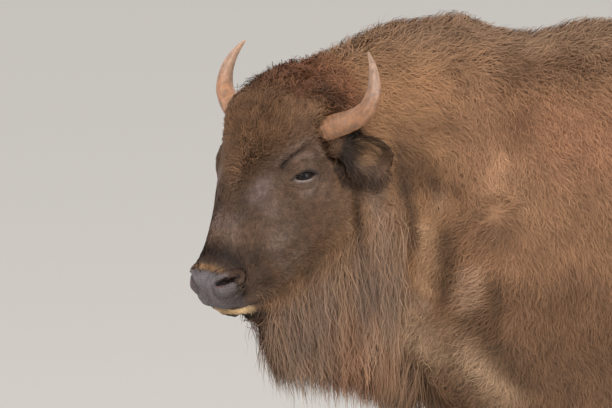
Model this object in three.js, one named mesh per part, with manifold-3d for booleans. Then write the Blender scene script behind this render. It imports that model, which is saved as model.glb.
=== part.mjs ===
// A life-size European bison cow in her winter coat, standing with her head turned to her left.
// Millimetres, +Z up. She faces -X, her left side is -Y, and her hooves stand on Z = 0.
// Every outline is that of the coat, out to the tips of the hair. The body is one implicit surface,
// a smooth union of lofts, limbs and muscle forms, which is meshed region by region and parted by
// thin cuts. Horns, ears, eyes, hooves and dewclaws are pieces of their own.
import * as THREE from "three";
import { mergeVertices } from "three/addons/utils/BufferGeometryUtils.js";
import Module from "manifold-3d";

const wasm = await Module();
wasm.setup();

// ---- Driving dimensions ----
const HUMP_HEIGHT = 1650;
const HIP_HEIGHT = 1425;
const FORE_LEG_X = 0; // the fore feet's mean place along the body
const HIND_LEG_X = 1165; // the hind feet's mean place
const STRIDE = 55; // how far each foot stands ahead of or behind its pair's mean
const TRACK = 150; // half the distance between left and right feet
const HEAD_TURN = THREE.MathUtils.degToRad(31.5); // to her left
const HEAD_PITCH = THREE.MathUtils.degToRad(55.6); // of the face below the horizontal
const BETWEEN_EYES = new THREE.Vector3(-713, -190, 1414);
const BEND_START = -222; // along the body, where the neck starts to turn
const BEND_LENGTH = 360; // over which it turns
const EYE_RADIUS = 20;
const EYE_PLACE = [100, 3, -34]; // in the head's frame, of the right eye
const NOSTRIL_PLACE = [52, 270, -14]; // in the head's frame, of the right nostril
const HORN_BASE_RADIUS = 24.5;
const RIGHT_HORN_SHARE = 0.95; // of the left horn's length
const EAR_LENGTH = 128;
const CLAW_LENGTH = 112;
const CLAW_WIDTH = 50;
const CORONET_AT_TOE = 76; // height of the hoof's upper edge
const CORONET_AT_HEEL = 52;
const TAIL_TUFT_TOP = 880;
const TAIL_BACK = 1430;
const GAP = 0.3; // between neighbouring parts

// ---- Implicit forms: each takes a point and returns its distance outside the surface ----
const { abs, cos, hypot, max, min, sin, tan, PI } = Math;
const { lerp, clamp } = THREE.MathUtils;

function smoothMin(a, b, width) {
  const near = max(width - abs(a - b), 0) / width;
  return min(a, b) - (near * near * width) / 4;
}

// Joins fields with fillets about as wide as stated.
function blend(width, ...fields) {
  return (x, y, z) => fields.reduce((d, field) => smoothMin(d, field(x, y, z), width), 1e4);
}

const bothSidesOfX = (field) => (x, y, z) => field(abs(x), y, z);
const bothSidesOfY = (field) => (x, y, z) => field(x, abs(y), z);

function egg([cx, cy, cz], [rx, ry, rz]) {
  return (x, y, z) => {
    const [px, py, pz] = [x - cx, y - cy, z - cz];
    const reach = hypot(px / rx, py / ry, pz / rz);
    const slope = hypot(px / rx ** 2, py / ry ** 2, pz / rz ** 2);
    return slope < 1e-9 ? -min(rx, ry, rz) : (reach * (reach - 1)) / slope;
  };
}

// A chain of tapering rods through stations [x, y, z, radius].
function limb(...stations) {
  const spans = stations.slice(1).map((end, i) => {
    const start = stations[i];
    const along = [end[0] - start[0], end[1] - start[1], end[2] - start[2]];
    return { start, end, along, square: along[0] ** 2 + along[1] ** 2 + along[2] ** 2 };
  });
  return (x, y, z) => {
    let distance = 1e4;
    for (const { start, end, along, square } of spans) {
      const [px, py, pz] = [x - start[0], y - start[1], z - start[2]];
      const t = clamp((px * along[0] + py * along[1] + pz * along[2]) / square, 0, 1);
      const off = hypot(px - along[0] * t, py - along[1] * t, pz - along[2] * t);
      distance = smoothMin(distance, off - lerp(start[3], end[3], t), 20);
    }
    return distance;
  };
}

// A smooth curve through one column of the stations, without overshoot.
function profile(stations, column) {
  const at = stations.map((station) => station[0]);
  const value = stations.map((station) => station[column]);
  const rise = at.slice(1).map((p, i) => (value[i + 1] - value[i]) / (p - at[i]));
  const slope = value.map((_, i) => {
    const before = rise[i - 1] ?? rise[i];
    const after = rise[i] ?? rise[i - 1];
    return before * after <= 0 ? 0 : (2 * before * after) / (before + after);
  });
  return (p) => {
    let i = 0;
    while (i < at.length - 2 && p > at[i + 1]) i++;
    const span = at[i + 1] - at[i];
    const t = clamp((p - at[i]) / span, 0, 1);
    const ease = t * t * (3 - 2 * t);
    const bow = t * (1 - t) * span * (slope[i] * (1 - t) - slope[i + 1] * t);
    return lerp(value[i], value[i + 1], ease) + bow;
  };
}

// A body of superellipse sections. Stations are [along, top, bottom, half width, level of the widest
// place, 0 at the bottom to 1 at the top]. The powers say how square the section is above and below
// that level: 2 is round. The ends are rounded off over endLength.
function loft(stations, [powerAbove, powerBelow], endLength) {
  const [top, bottom, half, level] = [1, 2, 3, 4].map((column) => profile(stations, column));
  const first = stations[0][0];
  const last = stations.at(-1)[0];
  return (along, across, up) => {
    const at = clamp(along, first, last);
    const past = max(first + endLength - along, along - last + endLength, 0) / endLength;
    const [high, low, wide] = [top(at), bottom(at), half(at)];
    const middle = lerp(low, high, level(at));
    const rise = up > middle ? high - middle : middle - low;
    const power = up > middle ? powerAbove : powerBelow;
    const ring = ((abs(across) / wide) ** power + (abs(up - middle) / rise) ** power) ** (1 / power);
    return (hypot(ring, past) - 1) * min(wide, rise);
  };
}

// ---- The head's own frame: X to her right, Y down the face to the muzzle, Z out of the forehead ----
const ahead = new THREE.Vector3(-cos(HEAD_TURN), -sin(HEAD_TURN), 0);
const forwardAndUp = (forward, up) => ahead.clone().multiplyScalar(forward).setZ(up);
const downFace = forwardAndUp(cos(HEAD_PITCH), -sin(HEAD_PITCH));
const outOfForehead = forwardAndUp(sin(HEAD_PITCH), cos(HEAD_PITCH));
const toHerRight = new THREE.Vector3().crossVectors(downFace, outOfForehead);
const headFrame = new THREE.Matrix4()
  .makeBasis(toHerRight, downFace, outOfForehead)
  .setPosition(BETWEEN_EYES);

// A field seen through a frame: the point is moved by the matrix before the field is read.
function through(matrix, field) {
  const e = matrix.elements;
  return (x, y, z) =>
    field(
      e[0] * x + e[4] * y + e[8] * z + e[12],
      e[1] * x + e[5] * y + e[9] * z + e[13],
      e[2] * x + e[6] * y + e[10] * z + e[14],
    );
}

// How far the neck's middle has swung to her left at x. It ends heading the way the head faces.
function sway(x) {
  const along = max(BEND_START - x, 0);
  const bent = min(along, BEND_LENGTH);
  return -tan(HEAD_TURN) * (bent ** 2 / (2 * BEND_LENGTH) + along - bent);
}
const withSway = (field) => (x, y, z) => field(x, y - sway(x), z);

// ---- Trunk and neck ----
const trunkForm = loft(
  [
    [-330, 1330, 860, 120, 0.46],
    [-230, 1490, 740, 200, 0.44],
    [-90, 1624, 650, 262, 0.43],
    [80, HUMP_HEIGHT + 8, 606, 292, 0.42],
    [280, 1630, 612, 302, 0.42],
    [520, 1543, 622, 314, 0.44],
    [780, 1474, 655, 303, 0.48],
    [980, 1448, 725, 270, 0.55],
    [1160, HIP_HEIGHT, 820, 230, 0.6],
    [1350, 1305, 930, 150, 0.6],
  ],
  [1.75, 2.1],
  130,
);
const neckForm = withSway(
  loft(
    [
      [-730, 1535, 1120, 90, 0.5],
      [-660, 1574, 1040, 128, 0.56],
      [-560, 1617, 965, 160, 0.58],
      [-440, 1660, 885, 192, 0.56],
      [-310, 1694, 800, 226, 0.52],
      [-230, 1688, 750, 244, 0.5],
      [-120, 1614, 720, 250, 0.5],
      [20, 1470, 740, 230, 0.5],
    ],
    [1.8, 1.7],
    70,
  ),
);
const shoulderForms = bothSidesOfY(
  blend(
    70,
    limb([10, 110, 1390, 90], [-140, 172, 1150, 108], [-205, 176, 985, 98]),
    limb([-205, 176, 985, 98], [-10, 188, 830, 106]),
    egg([80, 182, 1110], [150, 98, 240]),
  ),
);
const haunchForms = bothSidesOfY(
  blend(
    70,
    limb([990, 140, 1290, 90], [1140, 150, 1130, 155], [1065, 158, 930, 135]),
    limb([1215, 88, 1225, 95], [1235, 118, 1010, 100]),
  ),
);
const brisket = limb([-262, -6, 900, 95], [-175, 0, 748, 98], [40, 0, 696, 90]);

// ---- Legs, each built about its own foot: x behind the foot, y out from it ----
// The feet stand ahead of or behind the body's even stance by shift, and the shoulder and hip don't.
function foreLeg(shift) {
  const wrist = -14 - shift * 0.2;
  return blend(
    26,
    limb([20 - shift, 40, 850, 108], [6 - shift * 0.6, 22, 700, 88], [wrist, 4, 480, 56]),
    limb([wrist, 2, 440, 54], [-10, 0, 395, 45], [2, 0, 250, 40], [6, 0, 195, 43]),
    egg([wrist - 6, 2, 446], [54, 54, 60]),
    limb([8, 0, 165, 49], [0, 0, 118, 45], [2, 0, 60, 46]),
  );
}

function hindLeg(shift) {
  const stifle = [-150 - shift, 30, 850, 112];
  const gaskin = [-70 - shift * 0.5, 14, 700, 82];
  return blend(
    30,
    limb([-95 - shift, 16, 1010, 140], stifle, gaskin),
    limb(gaskin, [30, 2, 560, 57], [36, 0, 520, 53], [30, 0, 440, 44], [18, 0, 250, 41]),
    limb([18, 0, 250, 41], [12, 0, 165, 49], [0, 0, 118, 45], [2, 0, 60, 46]),
    limb([75 - shift, -14, 1000, 88], [50 - shift * 0.8, -2, 860, 66], [34, 4, 735, 46]), // hamstring
    limb([24, 8, 760, 44], [84, 2, 622, 22], [78, 2, 585, 34], [50, 1, 540, 44]), // heel tendon
    limb([-6 - shift * 0.3, 8, 745, 42], [22, 4, 680, 38], [52, 2, 612, 34]), // the web before it
  );
}

const LEG_OF = { fore: foreLeg, hind: hindLeg };
const LEGS = [
  { name: "fore_left", pair: "fore", x: FORE_LEG_X, side: -1, shift: -STRIDE },
  { name: "fore_right", pair: "fore", x: FORE_LEG_X, side: 1, shift: STRIDE },
  { name: "hind_left", pair: "hind", x: HIND_LEG_X, side: -1, shift: STRIDE },
  { name: "hind_right", pair: "hind", x: HIND_LEG_X, side: 1, shift: -STRIDE },
];
const legForms = LEGS.map(({ pair, x, side, shift }) => {
  const form = LEG_OF[pair](shift);
  return (px, py, pz) => form(px - x - shift, side * py - TRACK, pz);
});

// ---- Tail: it hangs just clear of the buttocks and ends in a long tuft ----
const tailForm = blend(
  24,
  limb([1265, 0, 1340, 56], [1345, 0, 1318, 48], [1408, 0, 1245, 38], [TAIL_BACK, 0, 1100, 32]),
  limb([TAIL_BACK, 0, 1100, 32], [TAIL_BACK, 0, TAIL_TUFT_TOP, 33], [TAIL_BACK - 4, 0, 740, 48]),
  limb([TAIL_BACK - 4, 0, 740, 48], [TAIL_BACK - 6, 0, 640, 44], [TAIL_BACK - 8, 0, 540, 14]),
);

// ---- Head, in its own frame ----
const faceSections = loft(
  [
    [-175, 20, -150, 94, 0.55],
    [-100, 38, -180, 110, 0.6],
    [-40, 43, -196, 112, 0.6],
    [30, 38, -194, 101, 0.6],
    [95, 27, -168, 80, 0.6],
    [150, 18, -142, 66, 0.58],
    [205, 12, -120, 58, 0.55],
    [250, 4, -104, 57, 0.55],
    [282, -10, -88, 52, 0.52],
    [304, -34, -76, 42, 0.5],
  ],
  [2.5, 2.2],
  34,
);
const faceForm = (x, y, z) => faceSections(y, x, z);
const faceForms = bothSidesOfX(
  blend(
    20,
    egg([103, -8, -20], [26, 44, 28]), // brow over the eye
    limb([98, 34, -56, 22], [84, 92, -64, 18]), // cheekbone
    egg([62, 0, -126], [44, 92, 66]), // cheek
    egg([35, 262, -36], [31, 32, 34]), // wing of the nostril
  ),
);
const lips = blend(14, egg([0, 270, -58], [54, 36, 26]), egg([0, 252, -92], [38, 42, 19]));
const foreheadWool = blend(
  50,
  egg([0, -98, -5], [122, 80, 62]),
  egg([0, -154, -42], [112, 84, 68]),
  bothSidesOfX(egg([84, -112, -46], [44, 56, 54])),
);
const headForm = blend(26, faceForm, faceForms, lips, foreheadWool);

// The throat mane, a curtain under the jaw and the neck that ends in thin locks.
const beardForm = withSway(
  loft(
    [
      [-768, 1120, 1050, 18, 0.8],
      [-728, 1165, 966, 36, 0.75],
      [-690, 1230, 934, 56, 0.72],
      [-600, 1290, 903, 80, 0.68],
      [-490, 1290, 884, 104, 0.6],
      [-370, 1240, 874, 126, 0.55],
    ],
    [2, 1.5],
    36,
  ),
);

const bodyForm = blend(
  60,
  blend(90, trunkForm, shoulderForms, haunchForms, brisket, neckForm),
  blend(40, ...legForms),
);
const fleshForm = blend(
  40,
  blend(24, bodyForm, tailForm),
  through(headFrame.clone().invert(), headForm),
  beardForm,
);
const fleshInHead = through(headFrame, fleshForm);

// ---- Meshing: surface nets on a cubic grid, with every vertex then drawn onto the surface ----
const CORNERS = [0, 1, 2, 3, 4, 5, 6, 7].map((corner) => [corner & 1, (corner >> 1) & 1, corner >> 2]);
const EDGES = CORNERS.flatMap((_, corner) =>
  [1, 2, 4].filter((bit) => !(corner & bit)).map((bit) => [corner, corner | bit]),
);

function forGrid(from, to, visit) {
  for (let k = from; k < to[2]; k++)
    for (let j = from; j < to[1]; j++)
      for (let i = from; i < to[0]; i++) visit(i, j, k);
}

function meshOf(field, box, cell) {
  const { min: low, max: high } = box;
  const inBox = (x, y, z) =>
    max(field(x, y, z), low.x - x, x - high.x, low.y - y, y - high.y, low.z - z, z - high.z);
  // The grid's planes lie half a cell off the frame's, so a form even about those is meshed evenly.
  const origin = low.toArray().map((v, n) => (Math.floor(v / cell) - 1.5) * cell);
  const count = high.toArray().map((v, n) => Math.ceil((v - origin[n]) / cell) + 3);
  const index = (i, j, k) => (k * count[1] + j) * count[0] + i;
  const values = new Float32Array(count[0] * count[1] * count[2]);
  forGrid(0, count, (i, j, k) => {
    const point = [i, j, k].map((step, n) => origin[n] + step * cell);
    values[index(i, j, k)] = inBox(...point);
  });

  const vertexOf = new Map();
  const positions = [];
  forGrid(0, count.map((n) => n - 1), (i, j, k) => {
    const v = CORNERS.map(([a, b, c]) => values[index(i + a, j + b, k + c)]);
    const crossed = EDGES.filter(([a, b]) => v[a] < 0 !== v[b] < 0);
    if (!crossed.length) return;
    const place = [i, j, k];
    for (const [a, b] of crossed) {
      const t = v[a] / (v[a] - v[b]);
      for (let n = 0; n < 3; n++) place[n] += lerp(CORNERS[a][n], CORNERS[b][n], t) / crossed.length;
    }
    vertexOf.set(index(i, j, k), positions.length / 3);
    positions.push(...place.map((step, n) => origin[n] + step * cell));
  });
  drawOnto(inBox, positions, cell / 3);

  const faces = [];
  const steps = [[1, 0, 0], [0, 1, 0], [0, 0, 1]];
  forGrid(1, count.map((n) => n - 1), (i, j, k) => {
    const inside = values[index(i, j, k)] < 0;
    steps.forEach((step, axis) => {
      if (inside === values[index(i + step[0], j + step[1], k + step[2])] < 0) return;
      const [u, w] = [steps[(axis + 1) % 3], steps[(axis + 2) % 3]];
      const vertexBack = (a, b) => {
        const place = [i, j, k].map((step, n) => step - a * u[n] - b * w[n]);
        return vertexOf.get(index(...place));
      };
      const quad = [vertexBack(0, 0), vertexBack(1, 0), vertexBack(1, 1), vertexBack(0, 1)];
      if (!inside) quad.reverse();
      faces.push(quad[0], quad[1], quad[2], quad[0], quad[2], quad[3]);
    });
  });
  return meshFrom(positions, faces);
}

// Newton steps along the gradient, none longer than longest.
function drawOnto(field, positions, longest) {
  for (let pass = 0; pass < 4; pass++)
    for (let i = 0; i < positions.length; i += 3) {
      const [x, y, z] = positions.slice(i, i + 3);
      const gradient = [
        (field(x + 1, y, z) - field(x - 1, y, z)) / 2,
        (field(x, y + 1, z) - field(x, y - 1, z)) / 2,
        (field(x, y, z + 1) - field(x, y, z - 1)) / 2,
      ];
      const square = max(hypot(...gradient) ** 2, 0.05);
      const step = clamp(field(x, y, z) / square, -longest, longest);
      for (let n = 0; n < 3; n++) positions[i + n] -= step * gradient[n];
    }
}

// ---- Thinning: edges shrink to points, flattest first, until about faceCount faces are left ----
// A quadric sums the squared distances to planes: 10 numbers, the upper half of a 4 by 4 matrix.
function planeQuadric({ normal: { x, y, z }, constant: w }, weight) {
  return [x * x, x * y, x * z, x * w, y * y, y * z, y * w, z * z, z * w, w * w].map((v) => v * weight);
}
const addQuadrics = (p, q) => p.map((v, i) => v + q[i]);
const quadricAt = (q, { x, y, z }) =>
  x * (q[0] * x + 2 * (q[1] * y + q[2] * z + q[3])) +
  y * (q[4] * y + 2 * (q[5] * z + q[6])) +
  z * (q[7] * z + 2 * q[8]) +
  q[9];

// Where an edge shrinks to: the quadric's lowest point, or the middle where that lies far off.
function meetingPoint(q, a, b) {
  const middle = a.clone().lerp(b, 0.5);
  const slopes = new THREE.Matrix3().set(q[0], q[1], q[2], q[1], q[4], q[5], q[2], q[5], q[7]);
  const lowest = new THREE.Vector3(-q[3], -q[6], -q[8]).applyMatrix3(slopes.invert());
  return lowest.distanceTo(middle) < a.distanceTo(b) ? lowest : middle;
}

function thinned(geometry, faceCount) {
  const flat = geometry.attributes.position;
  const pointAt = (i) => new THREE.Vector3().fromBufferAttribute(flat, i);
  const points = Array.from({ length: flat.count }, (_, i) => pointAt(i));
  let faces = Array.from({ length: geometry.index.count / 3 }, (_, f) =>
    [0, 1, 2].map((corner) => geometry.index.getX(3 * f + corner)),
  );
  const quadrics = points.map(() => new Array(10).fill(0));
  for (const face of faces) {
    const triangle = new THREE.Triangle(...face.map((v) => points[v]));
    const quadric = planeQuadric(triangle.getPlane(new THREE.Plane()), triangle.getArea());
    for (const v of face) quadrics[v] = addQuadrics(quadrics[v], quadric);
  }
  while (faces.length > faceCount) {
    const facesAt = points.map(() => []);
    for (const face of faces) for (const v of face) facesAt[v].push(face);
    const edges = faces.flatMap((face) =>
      [0, 1, 2].map((n) => [face[n], face[(n + 1) % 3]]).filter(([a, b]) => a < b),
    );
    const joins = edges.map(([a, b]) => {
      const quadric = addQuadrics(quadrics[a], quadrics[b]);
      const place = meetingPoint(quadric, points[a], points[b]);
      return { a, b, quadric, place, cost: quadricAt(quadric, place) };
    });
    joins.sort((one, two) => one.cost - two.cost);
    const settled = new Set(); // points that another join of this pass has touched
    const standIn = new Map();
    for (const { a, b, quadric, place } of joins.slice(0, joins.length / 3)) {
      if (faces.length - 2 * standIn.size <= faceCount) break;
      const ring = new Set([...facesAt[a], ...facesAt[b]].flat());
      if ([...ring].some((v) => settled.has(v))) continue;
      if (!keepsShape(a, b, place, facesAt, points)) continue;
      points[a] = place;
      quadrics[a] = quadric;
      standIn.set(b, a);
      ring.forEach((v) => settled.add(v));
    }
    if (!standIn.size) break;
    faces = faces
      .map((face) => face.map((v) => standIn.get(v) ?? v))
      .filter(([a, b, c]) => a !== b && b !== c && c !== a);
  }
  return meshFrom(points.flatMap((point) => point.toArray()), faces.flat());
}

// Whether an edge can shrink with the surface still closed and no face turned far over.
function keepsShape(a, b, place, facesAt, points) {
  const near = (v) => new Set(facesAt[v].flat());
  const shared = [...near(a)].filter((v) => near(b).has(v));
  if (shared.length !== 4) return false;
  const normalOf = (corners) => new THREE.Triangle(...corners).getNormal(new THREE.Vector3());
  return [a, b].every((end) =>
    facesAt[end]
      .filter((face) => !(face.includes(a) && face.includes(b)))
      .every((face) => {
        const before = normalOf(face.map((v) => points[v]));
        const after = normalOf(face.map((v) => (v === end ? place : points[v])));
        return before.dot(after) > 0.5;
      }),
  );
}

function meshFrom(positions, faces) {
  return new THREE.BufferGeometry()
    .setAttribute("position", new THREE.Float32BufferAttribute(positions, 3))
    .setIndex(faces);
}

// Stacks rings of points, each turning left seen from the last one, into one closed skin.
function stack(rings) {
  const around = rings[0].length;
  const positions = rings.flat().flatMap((point) => point.toArray());
  const faces = [];
  for (let r = 0; r < rings.length - 1; r++)
    for (let s = 0; s < around; s++) {
      const here = r * around + s;
      const next = r * around + ((s + 1) % around);
      faces.push(here, next, next + around, here, next + around, here + around);
    }
  for (const last of [false, true]) {
    const ring = last ? rings.length - 1 : 0;
    const middle = rings[ring].reduce((sum, point) => sum.add(point), new THREE.Vector3());
    positions.push(...middle.divideScalar(around).toArray());
    for (let s = 0; s < around; s++) {
      const edge = [ring * around + s, ring * around + ((s + 1) % around)];
      if (!last) edge.reverse();
      faces.push(positions.length / 3 - 1, ...edge);
    }
  }
  return meshFrom(positions, faces);
}

// ---- Solids, joined and cut by manifold-3d ----
function solidOf(geometry) {
  const bare = geometry.clone();
  bare.deleteAttribute("normal");
  bare.deleteAttribute("uv");
  const merged = mergeVertices(bare, 1e-3);
  const vertProperties = new Float32Array(merged.attributes.position.array);
  const triVerts = new Uint32Array(merged.index.array);
  return new wasm.Manifold(new wasm.Mesh({ numProp: 3, vertProperties, triVerts }));
}

function geometryOf(solid) {
  const mesh = solid.getMesh();
  return new THREE.BufferGeometry()
    .setAttribute("position", new THREE.BufferAttribute(mesh.vertProperties, 3))
    .setIndex(new THREE.BufferAttribute(mesh.triVerts, 1));
}

// A solid without the crumbs that a cut can leave.
const largest = (solid) => solid.decompose().reduce((a, b) => (b.volume() > a.volume() ? b : a));

// A solid from rings made for her right side, mirrored with their turn kept where side is -1.
function ringSolid(rings, side) {
  const mirrored = rings.map((ring) => ring.map((point) => point.clone().setX(-point.x)).reverse());
  return solidOf(stack(side > 0 ? rings : mirrored));
}

const EVERYWHERE = solidOf(new THREE.BoxGeometry(9000, 9000, 9000));

// The room beyond every plane, on the side that its normal points to, drawn in by inset.
function room(planes, inset) {
  return planes.reduce(
    (left, { normal, constant }) => left.trimByPlane(normal.toArray(), inset - constant),
    EVERYWHERE,
  );
}

// Parts a solid with a thin cut into what lies beyond every plane, and the rest.
function part(solid, ...planes) {
  return [solid.intersect(room(planes, GAP / 2)), solid.subtract(room(planes, -GAP / 2))];
}

function boxBetween([x0, y0, z0], [x1, y1, z1]) {
  return new THREE.Box3(new THREE.Vector3(x0, y0, z0), new THREE.Vector3(x1, y1, z1));
}

// A plane square to the plane of symmetry, through two points [y, z] there. It faces the left hand of
// someone who goes from the first to the second with X towards them.
function planeAcross([y0, z0], [y1, z1]) {
  const normal = new THREE.Vector3(0, z0 - z1, y1 - y0).normalize();
  return new THREE.Plane().setFromNormalAndCoplanarPoint(normal, new THREE.Vector3(0, y0, z0));
}
const flipped = (plane) => plane.clone().negate();

// ---- Materials ----
function material(name, color, roughness) {
  const made = new THREE.MeshStandardMaterial({ color, roughness, metalness: 0 });
  made.name = name;
  return made;
}
const MANE = material("mane", 0x74573d, 0.95);
const COAT = material("coat", 0x69503a, 0.95);
const FACE = material("face", 0x46352c, 0.9);
const NOSE = material("nose", 0x4a4644, 0.6);
const BEARD = material("beard", 0x5f4b40, 0.95);
const LEG = material("leg", 0x443328, 0.95);
const TAIL = material("tail", 0x3a2c24, 0.95);
const HORN = material("horn", 0x9c7c66, 0.5);
const HOOF = material("hoof", 0x26221f, 0.6);
const EYE = material("eye", 0x120d0b, 0.1);

const bison = new THREE.Group();
const head = new THREE.Group();
head.applyMatrix4(headFrame);
bison.add(head);

function addPart(group, name, solid, partMaterial) {
  const mesh = new THREE.Mesh(geometryOf(largest(solid)), partMaterial);
  mesh.name = name;
  group.add(mesh);
}

// ---- Horns: they rise out of the wool, outward, then up, then in to the tips ----
const hornPath = new THREE.CatmullRomCurve3(
  [
    [104, -100, -30],
    [141, -119, -31],
    [178, -140, -34],
    [204, -165, -32],
    [213, -196, -24],
    [208, -226, -15],
    [194, -254, -8],
    [172, -282, -1],
  ].map((point) => new THREE.Vector3(...point)),
);

function hornSolid(side, grow) {
  const [steps, around] = [10, 10];
  const ringAt = (step) => {
    const t = (step / steps) * (side > 0 ? RIGHT_HORN_SHARE : 1);
    const radius = HORN_BASE_RADIUS * (1 - (step / steps) ** 1.7) ** 0.9 + 1.6 + grow;
    const direction = hornPath.getTangentAt(t);
    const across = new THREE.Vector3(0, 0, 1).cross(direction).normalize();
    const up = direction.clone().cross(across);
    const centre = hornPath.getPointAt(t).addScaledVector(direction, grow * Math.sign(t - 0.5));
    return Array.from({ length: around }, (_, s) => {
      const turn = (2 * PI * s) / around;
      const point = centre.clone();
      return point.addScaledVector(across, radius * cos(turn)).addScaledVector(up, radius * sin(turn));
    });
  };
  return ringSolid(Array.from({ length: steps + 1 }, (_, step) => ringAt(step)), side);
}

// ---- Ears: a leaf that stands out sideways, hollow at the front ----
const earRoot = new THREE.Vector3(122, -80, -58);
const earAxis = new THREE.Vector3(0.7, -0.16, -0.68).normalize();
const earFront = new THREE.Vector3(0.69, 0.41, 0.59).projectOnPlane(earAxis).normalize();
const earEdge = new THREE.Vector3().crossVectors(earFront, earAxis);

function earSolid(side, grow) {
  const [steps, around] = [7, 8];
  const ringAt = (step) => {
    const t = step / steps;
    const half = 10 + 28 * sin(PI * min(t * 0.9 + 0.06, 1)) ** 0.7 + grow;
    const thick = lerp(20, 6, t) + grow;
    const hollow = 24 * sin(PI * t) ** 0.8;
    const centre = earRoot.clone().addScaledVector(earAxis, (t - 0.08) * EAR_LENGTH + grow * (t - 0.5));
    return Array.from({ length: around }, (_, s) => {
      const turn = (2 * PI * s) / around;
      const edgeward = cos(turn);
      const bow = -hollow * (1 - edgeward ** 2);
      const point = centre.clone().addScaledVector(earEdge, half * edgeward);
      return point.addScaledVector(earFront, thick * sin(turn) + bow);
    });
  };
  return ringSolid(Array.from({ length: steps + 1 }, (_, step) => ringAt(step)), side);
}

// ---- Head, muzzle and jaw: places [along the face, out of the forehead] in the head's frame ----
const BEHIND_EARS = [-195, 20];
const JAW_ANGLE = [-60, -225];
const CHIN = [300, -127];
const MOUTH_CORNER = [168, -92];
const MOUTH_FRONT = [312, -76];
const collar = planeAcross(JAW_ANGLE, BEHIND_EARS);
const jawLine = planeAcross(JAW_ANGLE, CHIN);

function ball([rx, ry, rz], rows) {
  return solidOf(new THREE.SphereGeometry(1, rows * 2, rows).scale(rx, ry, rz));
}

function blockOf(field, box, cell, faceCount) {
  return solidOf(thinned(meshOf(field, box, cell), faceCount));
}

// The slit between the lids, level as she holds her head, and the hollow of the nostril.
const LID_SLANT = 55; // degrees
const eyeball = (side, radius) => {
  const [out, down, rise] = EYE_PLACE;
  return ball([radius, radius, radius], 6).translate(side * out, down, rise);
};
const betweenLids = (side) => {
  const [out, down, rise] = EYE_PLACE;
  return ball([18, 25, 13], 6).rotate(LID_SLANT, 0, 0).translate(side * (out + 27), down + 6, rise + 8.4);
};
const nostril = (side) => {
  const [out, down, rise] = NOSTRIL_PLACE;
  return ball([24, 13, 8], 5).rotate(0, 0, side * 10).translate(side * out, down, rise);
};

const SIDES = { left: -1, right: 1 };
let headBlock = blockOf(fleshInHead, boxBetween([-190, -260, -260], [190, 340, 120]), 15, 1400);
headBlock = headBlock.intersect(room([flipped(collar), jawLine], GAP / 2));
for (const [name, side] of Object.entries(SIDES)) {
  headBlock = headBlock
    .subtract(hornSolid(side, GAP))
    .subtract(earSolid(side, GAP))
    .subtract(betweenLids(side))
    .subtract(eyeball(side, EYE_RADIUS + GAP))
    .subtract(nostril(side));
  addPart(head, `eye_${name}`, eyeball(side, EYE_RADIUS), EYE);
  addPart(head, `horn_${name}`, hornSolid(side, 0), HORN);
  addPart(head, `ear_${name}`, earSolid(side, 0).subtract(hornSolid(side, GAP)), FACE);
}
const underMouth = [planeAcross(MOUTH_FRONT, MOUTH_CORNER), planeAcross(MOUTH_CORNER, [120, -200])];
const [jaw, aboveMouth] = part(headBlock, ...underMouth);
const [muzzle, skull] = part(aboveMouth, planeAcross([230, 60], [222, -120]));
addPart(head, "head", skull, FACE);
addPart(head, "muzzle", muzzle, NOSE);
addPart(head, "jaw", jaw, FACE);

// ---- Neck, throat mane and trunk ----
const NECK_BACK = -300;
const WITHERS_BACK = 330;
const LOIN = 860;
const TAIL_ROOT = 1366;
const ACROSS_BODY = new THREE.Vector3(1, 0, 0);
const behind = (x) => new THREE.Plane(ACROSS_BODY.clone(), -x);
const inFrontOf = (x) => flipped(behind(x));
const collarInBody = collar.clone().applyMatrix4(headFrame);

const maneBox = boxBetween([-190, -260, -660], [190, 430, -60]);
const maneBlock = blockOf(fleshInHead, maneBox, 27, 560).transform(headFrame.elements);
const [throatMane] = part(
  maneBlock,
  flipped(collarInBody),
  flipped(jawLine.clone().applyMatrix4(headFrame)),
  inFrontOf(NECK_BACK),
);
addPart(bison, "throat_mane", throatMane, BEARD);

// Where each pair of legs leaves the trunk: between two places along the body, and outside a line from
// [out from the middle, height] at the inner side to the same at the outer side.
const LEG_TOPS = {
  fore: { from: -165, to: 185, inner: [55, 600], outer: [330, 850] },
  hind: { from: 905, to: TAIL_ROOT, inner: [40, 700], outer: [300, 960] },
};

// A leg's room: outside a plane that slants up and out from the groin or armpit, between two more.
function legRoom({ pair, side }, inset) {
  const { from, to, inner, outer } = LEG_TOPS[pair];
  const slant = new THREE.Vector3(0, outer[1] - inner[1], inner[0] - outer[0]).normalize();
  const plane = new THREE.Plane().setFromNormalAndCoplanarPoint(slant, new THREE.Vector3(0, ...inner));
  plane.normal.y *= side;
  return room([plane, behind(from), inFrontOf(to)], inset);
}

const bodyBlock = blockOf(fleshForm, boxBetween([-800, -460, 20], [1500, 460, 1740]), 27, 2920);
const [neck] = part(bodyBlock, collarInBody, inFrontOf(NECK_BACK));
addPart(bison, "neck", neck, MANE);
const trunkSlices = [
  ["shoulders", NECK_BACK, WITHERS_BACK, MANE],
  ["barrel", WITHERS_BACK, LOIN, COAT],
  ["rump", LOIN, TAIL_ROOT, COAT],
];
for (const [name, front, back, sliceMaterial] of trunkSlices) {
  const [slice] = part(bodyBlock, behind(front), inFrontOf(back));
  const bare = LEGS.reduce((left, leg) => left.subtract(legRoom(leg, -GAP / 2)), slice);
  addPart(bison, name, bare, sliceMaterial);
}

// ---- Tail ----
const [wholeTail] = part(bodyBlock, behind(TAIL_ROOT));
const overTuft = new THREE.Plane(new THREE.Vector3(0, 0, 1), -TAIL_TUFT_TOP);
const [tail, tuft] = part(wholeTail, overTuft);
addPart(bison, "tail", tail, TAIL);
addPart(bison, "tail_tuft", tuft, TAIL);

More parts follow.
